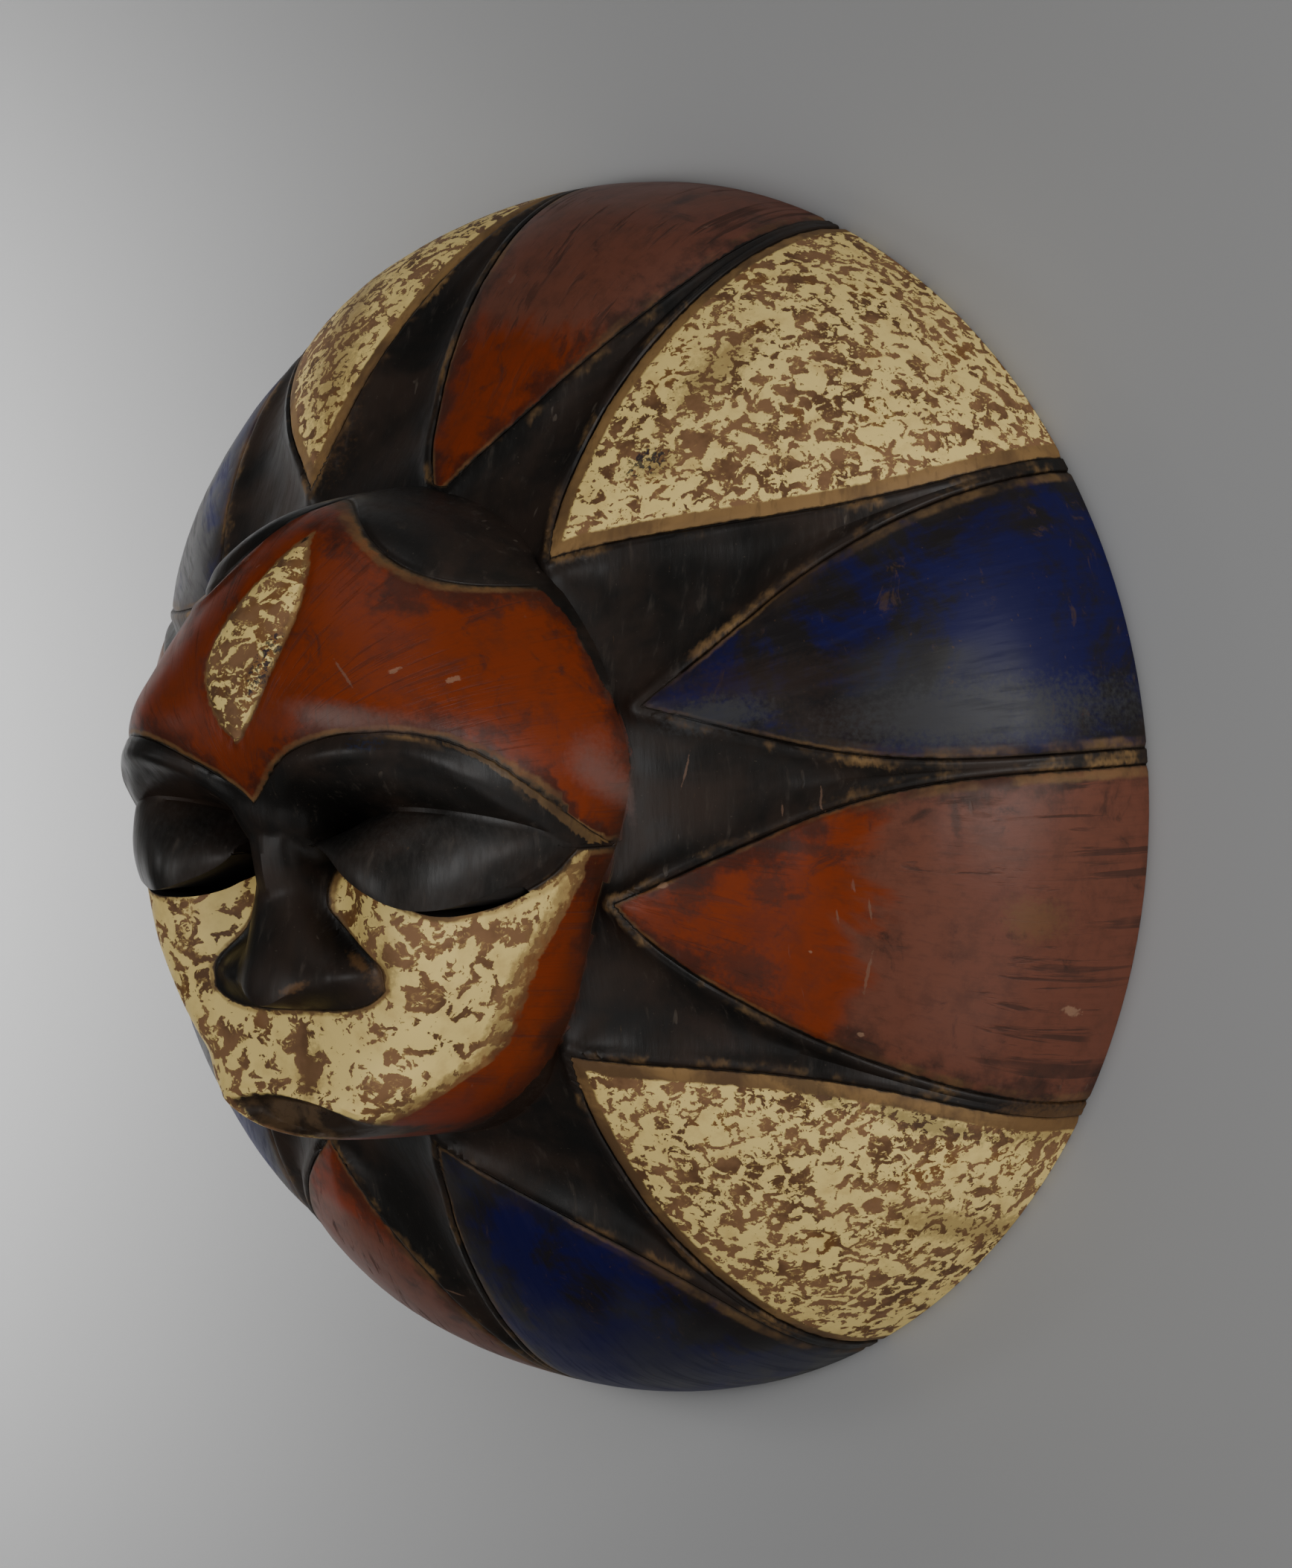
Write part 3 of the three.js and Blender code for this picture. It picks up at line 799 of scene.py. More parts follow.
    def _cut(self, piece: bpy.types.Object, tool: bpy.types.Object, operation: str) -> None:
        """Carves the piece with a block, which is used up.

        Args:
            piece: The piece to carve.
            tool: The block.
            operation: UNION to join the block to the piece, or DIFFERENCE to cut it out.
        """
        bpy.ops.object.select_all(action="DESELECT")
        bpy.context.view_layer.objects.active = piece
        modifier = piece.modifiers.new("carve", "BOOLEAN")
        modifier.operation = operation
        modifier.object = tool
        modifier.solver = "MANIFOLD"
        bpy.ops.object.modifier_apply(modifier=modifier.name)
        bpy.data.objects.remove(tool, do_unlink=True)

    def _black_inset(self, x: Array, y: Array, z: Array, foot: Array) -> Array:
        """Measures how far points of the face lie inside its black parts.

        Args:
            x: Places across the face.
            y: Places up the face.
            z: Heights of the points.
            foot: The height up to which the face's wall is black.

        Returns:
            The distance inside the eye, the nose, the hair or the foot of the wall.
        """
        f, across = self.face, np.abs(x)
        eye = np.minimum(-f.over_brow(across, y), 0.82 * (y - f.lower_lid(x) + 1.4))
        eye = np.where(across > f.brow_end, -np.hypot(across - f.brow_end, y - f.temple_y), eye)
        from_nose = f.from_nose(x, y)
        nose = np.minimum(0.85 * (f.nose_half(y) - from_nose), y - f.nose_under(from_nose))
        nose = np.minimum(nose, 4 - y)
        hair = np.where(across < 70, 0.9 * (y - f.scallop(x)), -20)
        return np.maximum(np.maximum(eye, nose), np.maximum(hair, foot - z))

    def _fields(self, x: Array, y: Array, z: Array) -> dict[str, Array]:
        """Measures what the materials read.

        Args:
            x: Places across the mask.
            y: Places up the mask.
            z: Heights over the rim's plane.

        Returns:
            The values at the points, by name. An edge is a distance in millimetres from a border. The others
            say, mostly from 0 to 1, where something is, such as the worn corner over the eye or the lid.
        """
        f, across = self.face, np.abs(x)
        share = f.share(x, y)
        just_outside = 1.0015
        on_face = share < just_outside
        inset, which = self.disc.inset(x, y)
        paints = np.array([petal.paint.value for petal in self.disc.petals])[which]
        foot = 114 + 6 * ease(-70, -95, y) + 4 * ease(20, 45, y) + 4 * ease(55, 70, y)
        cheek = np.minimum(np.where(share < 0.968, 90, 600) * (0.968 - share), -8.5 - y)
        under_brow = -f.over_brow(across, y)
        above_lid = y > f.upper_lid(x)
        places = (hill(np.hypot((x - a) / wide, (y - b) / high), 1.0) for a, b, wide, high in f.bare_places)
        corner = ease(58, 72, across) * ease(1.7, 0.7, under_brow) * ease(-0.5, 0.5, under_brow) * above_lid
        ridge = ease(44, 62, across) * ease(2.6, 1.3, under_brow) * (under_brow > 0)
        # Where the lids are, for their painted sheen.
        lid = ease(-1.0, 1.0, y - f.lower_lid(x)) * ease(12, 18, across) * (y < f.upper_lid(x))
        face_and_disc = {
            "corner": (corner * (x > 0), 0.0),
            "black_edge": (-self._black_inset(x, y, z, foot), inset),
            "crisp": (ease(1.0, 6.0, z - foot), 1.0),
            "cream_edge": (np.where(y < 10, cheek, f.leaf(x, y)), self._of(paints, Paint.CREAM)),
            "ridge": (ridge, 1.0),
            "worn": (np.where(y > 10, 1.3, -0.4 + 2.6 * sum(places)), 0.0),
            "cheek": (np.where(y < 10, 1.0, 0.0), 0.0),
            "disc": (0.0, 1.0),
            # Painted shade: the face's wall darkens towards its foot, more so lower down the face.
            "painted_wall_shade": (ease(18.0, 2.0, z - foot) * ease(30, -10, y), 0.0),
            "lid": (lid, 0.0),
            "blue_edge": (-50.0, self._of(paints, Paint.BLUE)),
            "mouth_edge": (6.5 * (1 - f.mouth(x, y)), -50.0),
        }
        return {name: np.where(on_face, *values) for name, values in face_and_disc.items()}

    @staticmethod
    def _of(paints: Array, paint: Paint) -> Array:
        """Returns a distance deep inside the petals of one paint and far outside the others."""
        return np.where(paints == paint.value, 50.0, -50.0)

    def _measure(self, piece: bpy.types.Object) -> None:
        """Stores at every vertex what the materials read."""
        mesh = piece.data
        flat = np.empty(len(mesh.vertices) * 3)
        mesh.vertices.foreach_get("co", flat)
        for name, values in self._fields(*(flat.reshape(-1, 3) / MM).T).items():
            attribute = mesh.attributes.new(name, "FLOAT", "POINT")
            attribute.data.foreach_set("value", np.clip(values, -50, 50).astype(np.float32))

    def build(self) -> bpy.types.Object:
        """Carves the mask.

        Returns:
            The finished piece, with what the materials read at every vertex.
        """
        piece = self._disc_block()
        self._cut(piece, self._face_block(), "UNION")
        self._cut(piece, self._hollow_block(), "DIFFERENCE")
        for side in (-1, 1):
            self._cut(piece, self._slit_block(side), "DIFFERENCE")
        piece.name = piece.data.name = "mask_carving"
        bpy.ops.object.select_all(action="DESELECT")
        piece.select_set(True)
        bpy.context.view_layer.objects.active = piece
        bpy.ops.object.shade_smooth_by_angle(angle=math.radians(38))
        self._measure(piece)
        return piece


class Graph:
    """Adds nodes to a material or a node group and joins them."""

    def __init__(self, tree: bpy.types.NodeTree) -> None:
        """Keeps the tree that nodes are added to."""
        self.tree = tree

    def node(self, kind: str, **settings: object) -> bpy.types.Node:
        """Adds a node.

        Args:
            kind: What comes after ShaderNode in its type's name.
            settings: Its properties.

        Returns:
            The node.
        """
        made = self.tree.nodes.new("ShaderNode" + kind)
        for name, value in settings.items():
            setattr(made, name, value)
        return made

    def feed(self, socket: Socket, value: object) -> None:
        """Links a socket to another, or sets its value.

        Args:
            socket: The socket that is fed.
            value: Another socket, a number, a colour or a place.
        """
        if isinstance(value, Socket):
            self.tree.links.new(value, socket)
        elif hasattr(socket.default_value, "__len__") and len(socket.default_value) == 4:
            socket.default_value = (*value, 1.0)
        else:
            socket.default_value = value

    def _result(self, kind: str, operation: str, *values: object) -> Socket:
        """Returns what a math node makes of some values."""
        made = self.node(kind, operation=operation)
        for socket, value in zip(made.inputs, values):
            self.feed(socket, value)
        return made.outputs[0]

    def plus(self, a: Value, b: Value) -> Socket:
        """Returns the sum of two values."""
        return self._result("Math", "ADD", a, b)

    def minus(self, a: Value, b: Value) -> Socket:
        """Returns one value less another."""
        return self._result("Math", "SUBTRACT", a, b)

    def times(self, *values: Value) -> Socket:
        """Returns the product of some values."""
        return reduce(lambda a, b: self._result("Math", "MULTIPLY", a, b), values)

    def most(self, *values: Value) -> Socket:
        """Returns the greatest of some values."""
        return reduce(lambda a, b: self._result("Math", "MAXIMUM", a, b), values)

    def swing(self, cloud: Value, size: float) -> Socket:
        """Returns noise that swings round 0 by about half of a size either way."""
        return self.times(self.minus(cloud, 0.5), size)

    def span(self, value: Value, low: Value, high: Value, out: tuple[float, float] = (0.0, 1.0)) -> Socket:
        """Moves a value smoothly from one range into another.

        Args:
            value: The value.
            low: Where the range starts.
            high: Where it ends, above or below the start.
            out: What the start and the end become.

        Returns:
            The moved value.
        """
        made = self.node("MapRange", interpolation_type="SMOOTHSTEP")
        for socket, given in zip(made.inputs, (value, low, high, *out)):
            self.feed(socket, given)
        return made.outputs[0]

    def band(self, value: Value, centre: float, half: float, soft: float) -> Socket:
        """Returns 1 near a centre value and 0 away from it."""
        away = self._result("Math", "ABSOLUTE", self.minus(value, centre))
        return self.span(away, half + soft, max(half - soft, 0.0))

    def _mixed(self, kind: str, sockets: tuple[int, ...], values: tuple[object, ...]) -> bpy.types.Node:
        """Returns a mix node that is fed with a share and two things."""
        made = self.node("Mix", data_type=kind)
        for place, given in zip(sockets, values):
            self.feed(made.inputs[place], given)
        return made

    def mix(self, share: Value, a: object, b: object) -> Socket:
        """Returns a mix of two colours."""
        return self._mixed("RGBA", (0, 6, 7), (share, a, b)).outputs[2]

    def blend(self, share: Value, a: Value, b: Value) -> Socket:
        """Returns a mix of two numbers."""
        return self._mixed("FLOAT", (0, 2, 3), (share, a, b)).outputs[0]

    def stretch(self, place: Value, x: float, y: float, z: float) -> Socket:
        """Returns a place scaled by different amounts along X, Y and Z."""
        return self._result("VectorMath", "MULTIPLY", place, (x, y, z))

    def scaled(self, place: Value, scale: Value) -> Socket:
        """Returns a place scaled by the same amount each way."""
        made = self.node("VectorMath", operation="SCALE")
        self.feed(made.inputs[0], place)
        self.feed(made.inputs["Scale"], scale)
        return made.outputs[0]

    def length(self, place: Value) -> Socket:
        """Returns the distance of a place from the origin."""
        made = self.node("VectorMath", operation="LENGTH")
        self.feed(made.inputs[0], place)
        return made.outputs["Value"]

    def from_middle(self, place: Value) -> Socket:
        """Returns the distance from the middle of the disc, seen from the front."""
        return self.length(self.stretch(place, 1, 1, 0))

    def outward(self, place: Value, along: float = 0.18) -> Socket:
        """Turns a place so that noise is drawn out along the petals.

        Args:
            place: The place.
            along: How fast noise changes away from the middle, against how fast it changes across.

        Returns:
            The turned place.
        """
        ring = self.scaled(self._result("VectorMath", "NORMALIZE", self.stretch(place, 1, 1, 0)), 0.15)
        lift = self.node("CombineXYZ")
        self.feed(lift.inputs["Z"], self.times(self.from_middle(place), along))
        return self._result("VectorMath", "ADD", ring, lift.outputs[0])

    def cloud(
        self, place: Value, scale: float, detail: float = 3.0, rough: float = 0.55, twist: float = 0.0
    ) -> Socket:
        """Draws soft noise.

        Args:
            place: Where it is read.
            scale: Its scale in waves per metre.
            detail: How many finer layers it has.
            rough: How strong the finer layers are.
            twist: How far it is distorted.

        Returns:
            Noise from 0 to 1.
        """
        made = self.node("TexNoise")
        names = ("Vector", "Scale", "Detail", "Roughness", "Distortion")
        for name, value in zip(names, (place, scale, detail, rough, twist)):
            self.feed(made.inputs[name], value)
        return made.outputs["Fac"]

    def attribute(self, name: str) -> Socket:
        """Returns a number stored at the vertices."""
        return self.node("Attribute", attribute_name=name).outputs["Fac"]

    def bump(self, height: Value) -> Socket:
        """Returns the normal of a surface with a fine height in millimetres."""
        made = self.node("Bump")
        self.feed(made.inputs["Distance"], MM)
        self.feed(made.inputs["Height"], height)
        return made.outputs["Normal"]


@dataclass
class Coat:
    """What a surface shows so far: its colour, its roughness and its height in millimetres."""

    graph: Graph
    colour: Value
    rough: Value
    height: Value

    def cover(self, share: Value, finish: bpy.types.Node) -> None:
        """Lays a finish over the coat where the share is 1."""
        self.colour = self.graph.mix(share, self.colour, finish.outputs["Color"])
        self.rough = self.graph.blend(share, self.rough, finish.outputs["Roughness"])
        self.height = self.graph.blend(share, self.height, finish.outputs["Height"])

    def tint(self, share: Value, colour: object) -> None:
        """Mixes another colour in."""
        self.colour = self.graph.mix(share, self.colour, colour)


@dataclass(frozen=True)
class Finish:
    """A finish as a node group that gives a colour, a roughness and a height in millimetres.

    The paint method of every finish takes and returns the same.
    """

    name: str

    def group(self) -> bpy.types.NodeTree:
        """Makes the node group.

        Returns:
            The group, which is made only once.
        """
        found = bpy.data.node_groups.get(self.name)
        if found:
            return found
        tree = bpy.data.node_groups.new(self.name, "ShaderNodeTree")
        tree.interface.new_socket("Place", in_out="INPUT", socket_type="NodeSocketVector")
        for name, kind in (("Color", "Color"), ("Roughness", "Float"), ("Height", "Float")):
            tree.interface.new_socket(name, in_out="OUTPUT", socket_type="NodeSocket" + kind)
        graph = Graph(tree)
        start = tree.nodes.new("NodeGroupInput")
        end = tree.nodes.new("NodeGroupOutput")
        coat = self.paint(graph, start.outputs["Place"])
        for socket, drawn in zip(end.inputs, (coat.colour, coat.rough, coat.height)):
            graph.feed(socket, drawn)
        return tree

    def paint(self, graph: Graph, place: Value) -> Coat:
        """Draws the finish. Each finish has its own.

        Args:
            graph: The group's nodes.
            place: Where the surface is read.

        Returns:
            The drawn coat.
        """
        raise NotImplementedError

    def use(self, graph: Graph, place: Socket) -> bpy.types.Node:
        """Places the group in a material."""
        made = graph.node("Group", node_tree=self.group())
        graph.feed(made.inputs["Place"], place)
        return made


@dataclass(frozen=True)
class BareWood(Finish):
    """Brown wood where the paint has gone, with fine grain along the head."""

    name: str = "bare_wood"
    light: Colour = (0.27, 0.155, 0.057)
    dark: Colour = (0.115, 0.062, 0.026)

    def paint(self, graph: Graph, place: Value) -> Coat:
        """Draws grain and stains."""
        grain = graph.cloud(graph.stretch(place, 1, 0.16, 1), 420, 4, 0.6)
        stain = graph.cloud(place, 38, 4, 0.6, 0.6)
        coat = Coat(graph, self.light, graph.blend(grain, 0.5, 0.7), graph.blend(grain, 0.06, -0.06))
        coat.tint(graph.span(stain, 0.36, 0.66), self.dark)
        coat.tint(graph.span(grain, 0.52, 0.72, (0.0, 0.5)), self.dark)
        return coat


@dataclass(frozen=True)
class BlackStain(Finish):
    """Brown-black stain with a worn satin sheen, fine scratches, streaks along the head and a little dust."""

    name: str = "black_stain"
    brown: Colour = (0.028, 0.017, 0.0115)
    black: Colour = (0.008, 0.007, 0.006)
    dust: Colour = (0.085, 0.066, 0.05)

    def paint(self, graph: Graph, place: Value) -> Coat:
        """Draws the stain's clouds, streaks along the head, specks and a few pale scratches."""
        clouds = graph.cloud(place, 26, 4, 0.6, 0.4)
        streak = graph.cloud(graph.stretch(place, 1, 0.12, 0.6), 330, 4, 0.62)
        specks = graph.cloud(place, 900, 2, 0.5)
        scratch = graph.cloud(graph.stretch(place, 1, 0.22, 1), 170, 2, 0.5, 0.3)
        scratch = graph.times(graph.span(scratch, 0.71, 0.74), graph.span(clouds, 0.45, 0.55))
        rough = graph.plus(
            graph.span(clouds, 0.3, 0.7, (0.34, 0.48)),
            graph.span(streak, 0.45, 0.7, (0.0, 0.12)),
        )
        height = graph.minus(graph.blend(streak, 0.07, -0.07), graph.times(scratch, 0.1))
        coat = Coat(graph, self.black, rough, height)
        coat.tint(graph.span(clouds, 0.38, 0.68), self.brown)
        coat.tint(graph.span(streak, 0.58, 0.75, (0.0, 0.3)), self.dust)
        coat.tint(graph.span(specks, 0.7, 0.76, (0.0, 0.4)), self.dust)
        coat.tint(graph.times(scratch, 0.7), self.dust)
        return coat


@dataclass(frozen=True)
class BrickRed(Finish):
    """Orange-red paint, faded pinkish towards the rim, smudged dark, with cracks and rubbed marks."""

    name: str = "brick_red"
    warm: Colour = (0.195, 0.026, 0.0018)
    faded: Colour = (0.15, 0.05, 0.029)
    smudge: Colour = (0.026, 0.015, 0.011)
    rubbed: Colour = (0.21, 0.12, 0.085)

    def paint(self, graph: Graph, place: Value) -> Coat:
        """Draws warm and faded areas, dark smudges and dashes, cracks across the grain and rubbed specks."""
        out = graph.from_middle(place)
        broad = graph.cloud(place, 17, 4, 0.6, 0.5)
        patch = graph.cloud(graph.outward(place, 0.5), 45, 5, 0.65, 0.6)
        edge = graph.plus(graph.span(out, 0.132, 0.172), graph.swing(patch, 1.6))
        fade = graph.times(graph.span(edge, 0.35, 0.8), graph.span(out, 0.118, 0.14))
        mottle = graph.cloud(place, 120, 5, 0.7)
        dirt = graph.cloud(place, 60, 6, 0.68, 0.8)
        dash = graph.cloud(graph.outward(place), 300, 5, 0.62, 0.4)
        where = graph.span(graph.cloud(place, 34, 3, 0.5), 0.4, 0.56)
        line = graph.times(graph.span(dash, 0.54, 0.64), graph.blend(fade, graph.times(where, 0.5), where))
        mark = graph.cloud(graph.stretch(place, 1, 0.3, 1), 150, 3, 0.5, 0.4)
        mark = graph.times(graph.span(mark, 0.72, 0.76), 0.4)
        fine = graph.cloud(graph.outward(place, 0.3), 700, 3, 0.6)
        rough = graph.plus(graph.span(broad, 0.3, 0.7, (0.36, 0.48)), graph.times(line, 0.2))
        height = graph.minus(graph.times(fine, 0.05), graph.times(line, 0.1))
        coat = Coat(graph, self.warm, rough, graph.minus(height, graph.times(mark, 0.15)))
        coat.tint(fade, self.faded)
        coat.tint(graph.span(mottle, 0.42, 0.7, (0.0, 0.3)), self.smudge)
        coat.tint(graph.span(dirt, 0.56, 0.72, (0.0, 0.7)), self.smudge)
        coat.tint(graph.times(line, 0.62), self.smudge)
        coat.tint(mark, self.rubbed)
        coat.tint(graph.span(fine, 0.5, 0.8, (0.0, 0.25)), self.smudge)
        return coat


@dataclass(frozen=True)
class DeepBlue(Finish):
    """Deep ultramarine that has gone brown-black in clouds and grey in places, with worn specks."""

    name: str = "deep_blue"
    blue: Colour = (0.0032, 0.0028, 0.052)
    black: Colour = (0.011, 0.0085, 0.009)
    grey: Colour = (0.034, 0.034, 0.036)
    worn: Colour = (0.07, 0.038, 0.02)

    def paint(self, graph: Graph, place: Value) -> Coat:
        """Draws blue clouds over black, a grey bloom, fine streaks and worn flecks."""
        broad = graph.cloud(place, 19, 6, 0.66, 0.5)
        fine = graph.cloud(graph.outward(place), 480, 3, 0.6)
        ragged = graph.plus(broad, graph.swing(fine, 0.12))
        bloom = graph.cloud(place, 14, 3, 0.5)
        flecks = graph.cloud(graph.stretch(place, 1, 0.6, 1), 130, 5, 0.7, 0.8)
        worn = graph.times(graph.span(flecks, 0.6, 0.7), graph.band(broad, 0.5, 0.07, 0.04))
        speck = graph.cloud(place, 520, 2, 0.5)
        rough = graph.plus(
            graph.span(broad, 0.35, 0.65, (0.36, 0.46)),
            graph.span(fine, 0.45, 0.7, (0.0, 0.12)),
        )
        coat = Coat(graph, self.black, rough, graph.times(fine, 0.06))
        coat.tint(graph.span(ragged, 0.42, 0.55), self.blue)
        coat.tint(graph.span(bloom, 0.56, 0.7, (0.0, 0.6)), self.grey)
        coat.tint(graph.times(worn, 0.6), self.worn)
        coat.tint(graph.span(speck, 0.72, 0.77, (0.0, 0.6)), self.worn)
        return coat


@dataclass(frozen=True)
class FlakedCream(Finish):
    """Cream paint worn through in ragged, brushed islands that show smooth brown wood."""

    name: str = "flaked_cream"
    cream: Colour = (0.9, 0.68, 0.24)
    dull: Colour = (0.6, 0.4, 0.135)
    wood: Colour = (0.25, 0.13, 0.06)
    dark_wood: Colour = (0.125, 0.06, 0.026)
    amber: Colour = (0.2, 0.085, 0.018)

    def paint(self, graph: Graph, place: Value) -> Coat:
        """Draws ragged islands of paint, larger on the cheek, with a dull film and stains on the wood."""
        place = graph.scaled(place, graph.blend(graph.attribute("cheek"), 1.0, 0.66))
        wide = graph.stretch(place, 0.9, 1.1, 1)
        large = graph.cloud(wide, 215, 2, 0.45, 0.9)
        small = graph.cloud(wide, 520, 4, 0.62, 1.4)
        area = graph.cloud(place, 24, 3, 0.5)
        level = graph.plus(graph.times(large, 0.68), graph.times(small, 0.32))
        level = graph.plus(level, graph.swing(area, 0.16))
        level = graph.minus(level, graph.times(graph.attribute("worn"), 0.035))
        kept = graph.span(level, 0.481, 0.491)
        film = graph.times(graph.span(level, 0.44, 0.475), graph.span(small, 0.47, 0.53, (0.0, 0.4)))
        coat = Coat(graph, self.wood, graph.blend(kept, 0.62, 0.5), graph.times(kept, 0.14))
        coat.tint(graph.span(graph.cloud(place, 62, 4, 0.6), 0.42, 0.65), self.dark_wood)
        coat.tint(graph.span(graph.cloud(place, 48, 3, 0.5), 0.56, 0.68, (0.0, 0.7)), self.amber)
        coat.tint(film, self.dull)
        dirt = graph.span(graph.cloud(place, 140, 4, 0.6), 0.45, 0.75, (0.0, 0.55))
        pits = graph.span(graph.cloud(place, 780, 2, 0.5), 0.7, 0.74)
        cream = graph.mix(dirt, self.cream, self.dull)
        coat.tint(kept, graph.mix(graph.times(pits, 0.7), cream, self.wood))
        return coat


@dataclass(frozen=True)
class Mark:
    """One mark: its place, its half length and half width in millimetres, and its turn in degrees."""

    place: tuple[float, float]
    size: tuple[float, float]
    turn: float = 0.0

    def inside(self, graph: Graph, place: Socket, ragged: Value, border: tuple[float, float]) -> Socket:
        """Finds the mark on the surface, seen from the front.

        Args:
            graph: The material's nodes.
            place: Where the surface is read.
            ragged: Noise that roughens the border.
            border: Where the mark ends and where it is full, as shares of its size.

        Returns:
            1 inside the mark and 0 outside it.
        """
        made = graph.node("Mapping", vector_type="TEXTURE")
        graph.feed(made.inputs["Vector"], place)
        graph.feed(made.inputs["Location"], (self.place[0] * MM, self.place[1] * MM, 0.0))
        graph.feed(made.inputs["Rotation"], (0.0, 0.0, math.radians(self.turn)))
        graph.feed(made.inputs["Scale"], (self.size[0] * MM, self.size[1] * MM, 1000.0))
        return graph.span(graph.plus(graph.length(made.outputs[0]), ragged), *border)


@dataclass(frozen=True)
class Trace:
    """One kind of mark: a mark of use, or a painted sheen, highlight or shade.

    It has its colour and how strongly it shows. Its border is where a mark ends and where it is full, as
    shares of the mark's size. Then come the marks, how ragged they are and whether they are broken up.
    """

    colour: Colour
    strength: float
    border: tuple[float, float]
    marks: tuple[Mark, ...]
    ragged: float = 2.0
    broken: bool = False

    def over(self, graph: Graph, place: Socket, colour: Value, rough: Value) -> Socket:
        """Lays the marks over a colour.

        Args:
            graph: The material's nodes.
            place: Where the surface is read.
            colour: The colour without these marks.
            rough: Noise for the ragged borders.

        Returns:
            The colour with the marks.
        """
        ragged = graph.swing(rough, self.ragged)
        every = graph.most(0.0, *(mark.inside(graph, place, ragged, self.border) for mark in self.marks))
        if self.broken:
            every = graph.times(every, graph.span(graph.cloud(place, 560, 4, 0.6, 1.0), 0.5, 0.54))
        return graph.mix(graph.times(every, self.strength), colour, self.colour)


# Soft and clear borders of marks, and then the marks on the front, by kind.
SOFT = (1.6, 0.4)
CLEAR = (1.25, 0.75)
SMUDGES = Trace((0.15, 0.075, 0.028), 0.55, SOFT, (
    Mark((184.7, -38.4), (4.0, 6.0)),
    Mark((93.0, 133.1), (12.0, 7.0), 60),
    Mark((140.3, -138.1), (11.0, 6.0), -45),
    Mark((-66.0, 152.0), (34.0, 11.0), 112),
    Mark((168.0, -105.0), (8.0, 5.0), 60),
    Mark((8.0, -79.0), (9.0, 4.5), 80),
    Mark((41.0, -46.0), (7.0, 4.0), 70),
    Mark((84.0, 105.0), (6.0, 4.0), 20),
    Mark((15.0, -51.6), (3.6, 1.2), 25),
    Mark((32.0, -44.5), (4.5, 1.2), -30),
))
STAINS = Trace((0.03, 0.017, 0.012), 0.55, SOFT, (
    Mark((124.4, -26.5), (4.5, 5.5)),
    Mark((114.9, -50.5), (9.0, 6.5), -30),
    Mark((103.5, -26.0), (5.0, 6.0)),
    Mark((131.4, -28.9), (2.6, 1.0)),
    Mark((171.9, -6.6), (6.0, 1.0), -85),
    Mark((45.8, 192.8), (2.4, 2.4)),
    Mark((126.0, 37.0), (22.0, 7.0), 4),
    Mark((150.0, 24.0), (20.0, 6.0)),
    Mark((34.0, 31.6), (2.4, 0.3), 95),
    Mark((37.5, 31.0), (3.0, 0.3), 95),
    Mark((40.5, 30.6), (2.0, 0.3), 92),
    Mark((44.5, 30.2), (2.6, 0.3), 95),
    Mark((48.5, 29.4), (2.0, 0.3), 97),
    Mark((52.9, 28.3), (2.4, 0.3), 97),
    Mark((99.4, -71.0), (9.0, 3.0), -38),
    Mark((124.0, -88.5), (12.0, 3.0), -36),
    Mark((149.5, -101.5), (12.0, 3.5), -30),
    Mark((132.5, -14.0), (18.0, 1.8), -8),
))
# Painted sheen: grey over the lower part of the blue petal at the right and near its tip.
PAINTED_SHEEN = Trace((0.04, 0.04, 0.042), 0.85, SOFT, (
    Mark((172.0, 25.0), (24.0, 9.0), 4),
    Mark((112.0, 27.0), (12.0, 4.5), 8),
))
SCRATCHES = Trace((0.2, 0.115, 0.075), 0.55, CLEAR, (
    Mark((38.9, 43.4), (6.2, 0.3), -47),
    Mark((138.5, 0.6), (3.8, 0.3), -74),
    Mark((127.7, -2.2), (2.1, 0.3), -74),
    Mark((101.8, 10.4), (4.8, 0.3), 75),
    Mark((147.6, -53.5), (5.6, 0.4), 71),
    Mark((150.8, -33.3), (2.9, 0.3), 90),
    Mark((142.4, -34.9), (2.1, 0.3), 90),
    Mark((-33.6, -163.8), (2.7, 0.3), -24),
))
CHIPS = Trace((0.34, 0.2, 0.12), 0.55, CLEAR, (
    Mark((50.2, 44.0), (1.2, 0.8), 40),
    Mark((62.0, 40.7), (1.1, 0.9), 40),
    Mark((142.0, -72.2), (0.9, 0.7)),
    Mark((134.0, -46.0), (0.6, 0.5)),
    Mark((184.1, -68.5), (0.8, 1.7)),
    Mark((96.4, -24.5), (1.4, 0.9)),
))
FLECKS = Trace((0.012, 0.013, 0.026), 0.85, CLEAR, (
    Mark((79.7, 105.4), (6.5, 4.0), 20),
    Mark((12.3, 46.8), (3.0, 9.0), -20),
    Mark((48.7, 22.6), (5.0, 2.2)),
), broken=True)
# Painted shade: a near-black dot for a small hole that is not carved.
SMALL_HOLE_SHADE = Trace((0.004, 0.003, 0.003), 0.85, CLEAR, (Mark((8.2, 84.6), (0.9, 0.9)),))
# Painted highlights: a pinkish band on the forehead above the brow, and one down the temple.
PAINTED_HIGHLIGHTS = Trace((0.2, 0.115, 0.095), 0.55, (1.3, 0.1), (
    Mark((41.0, 31.0), (21.0, 4.2), -11),
    Mark((84.0, 9.0), (15.0, 2.2), 98),
), ragged=0.7)


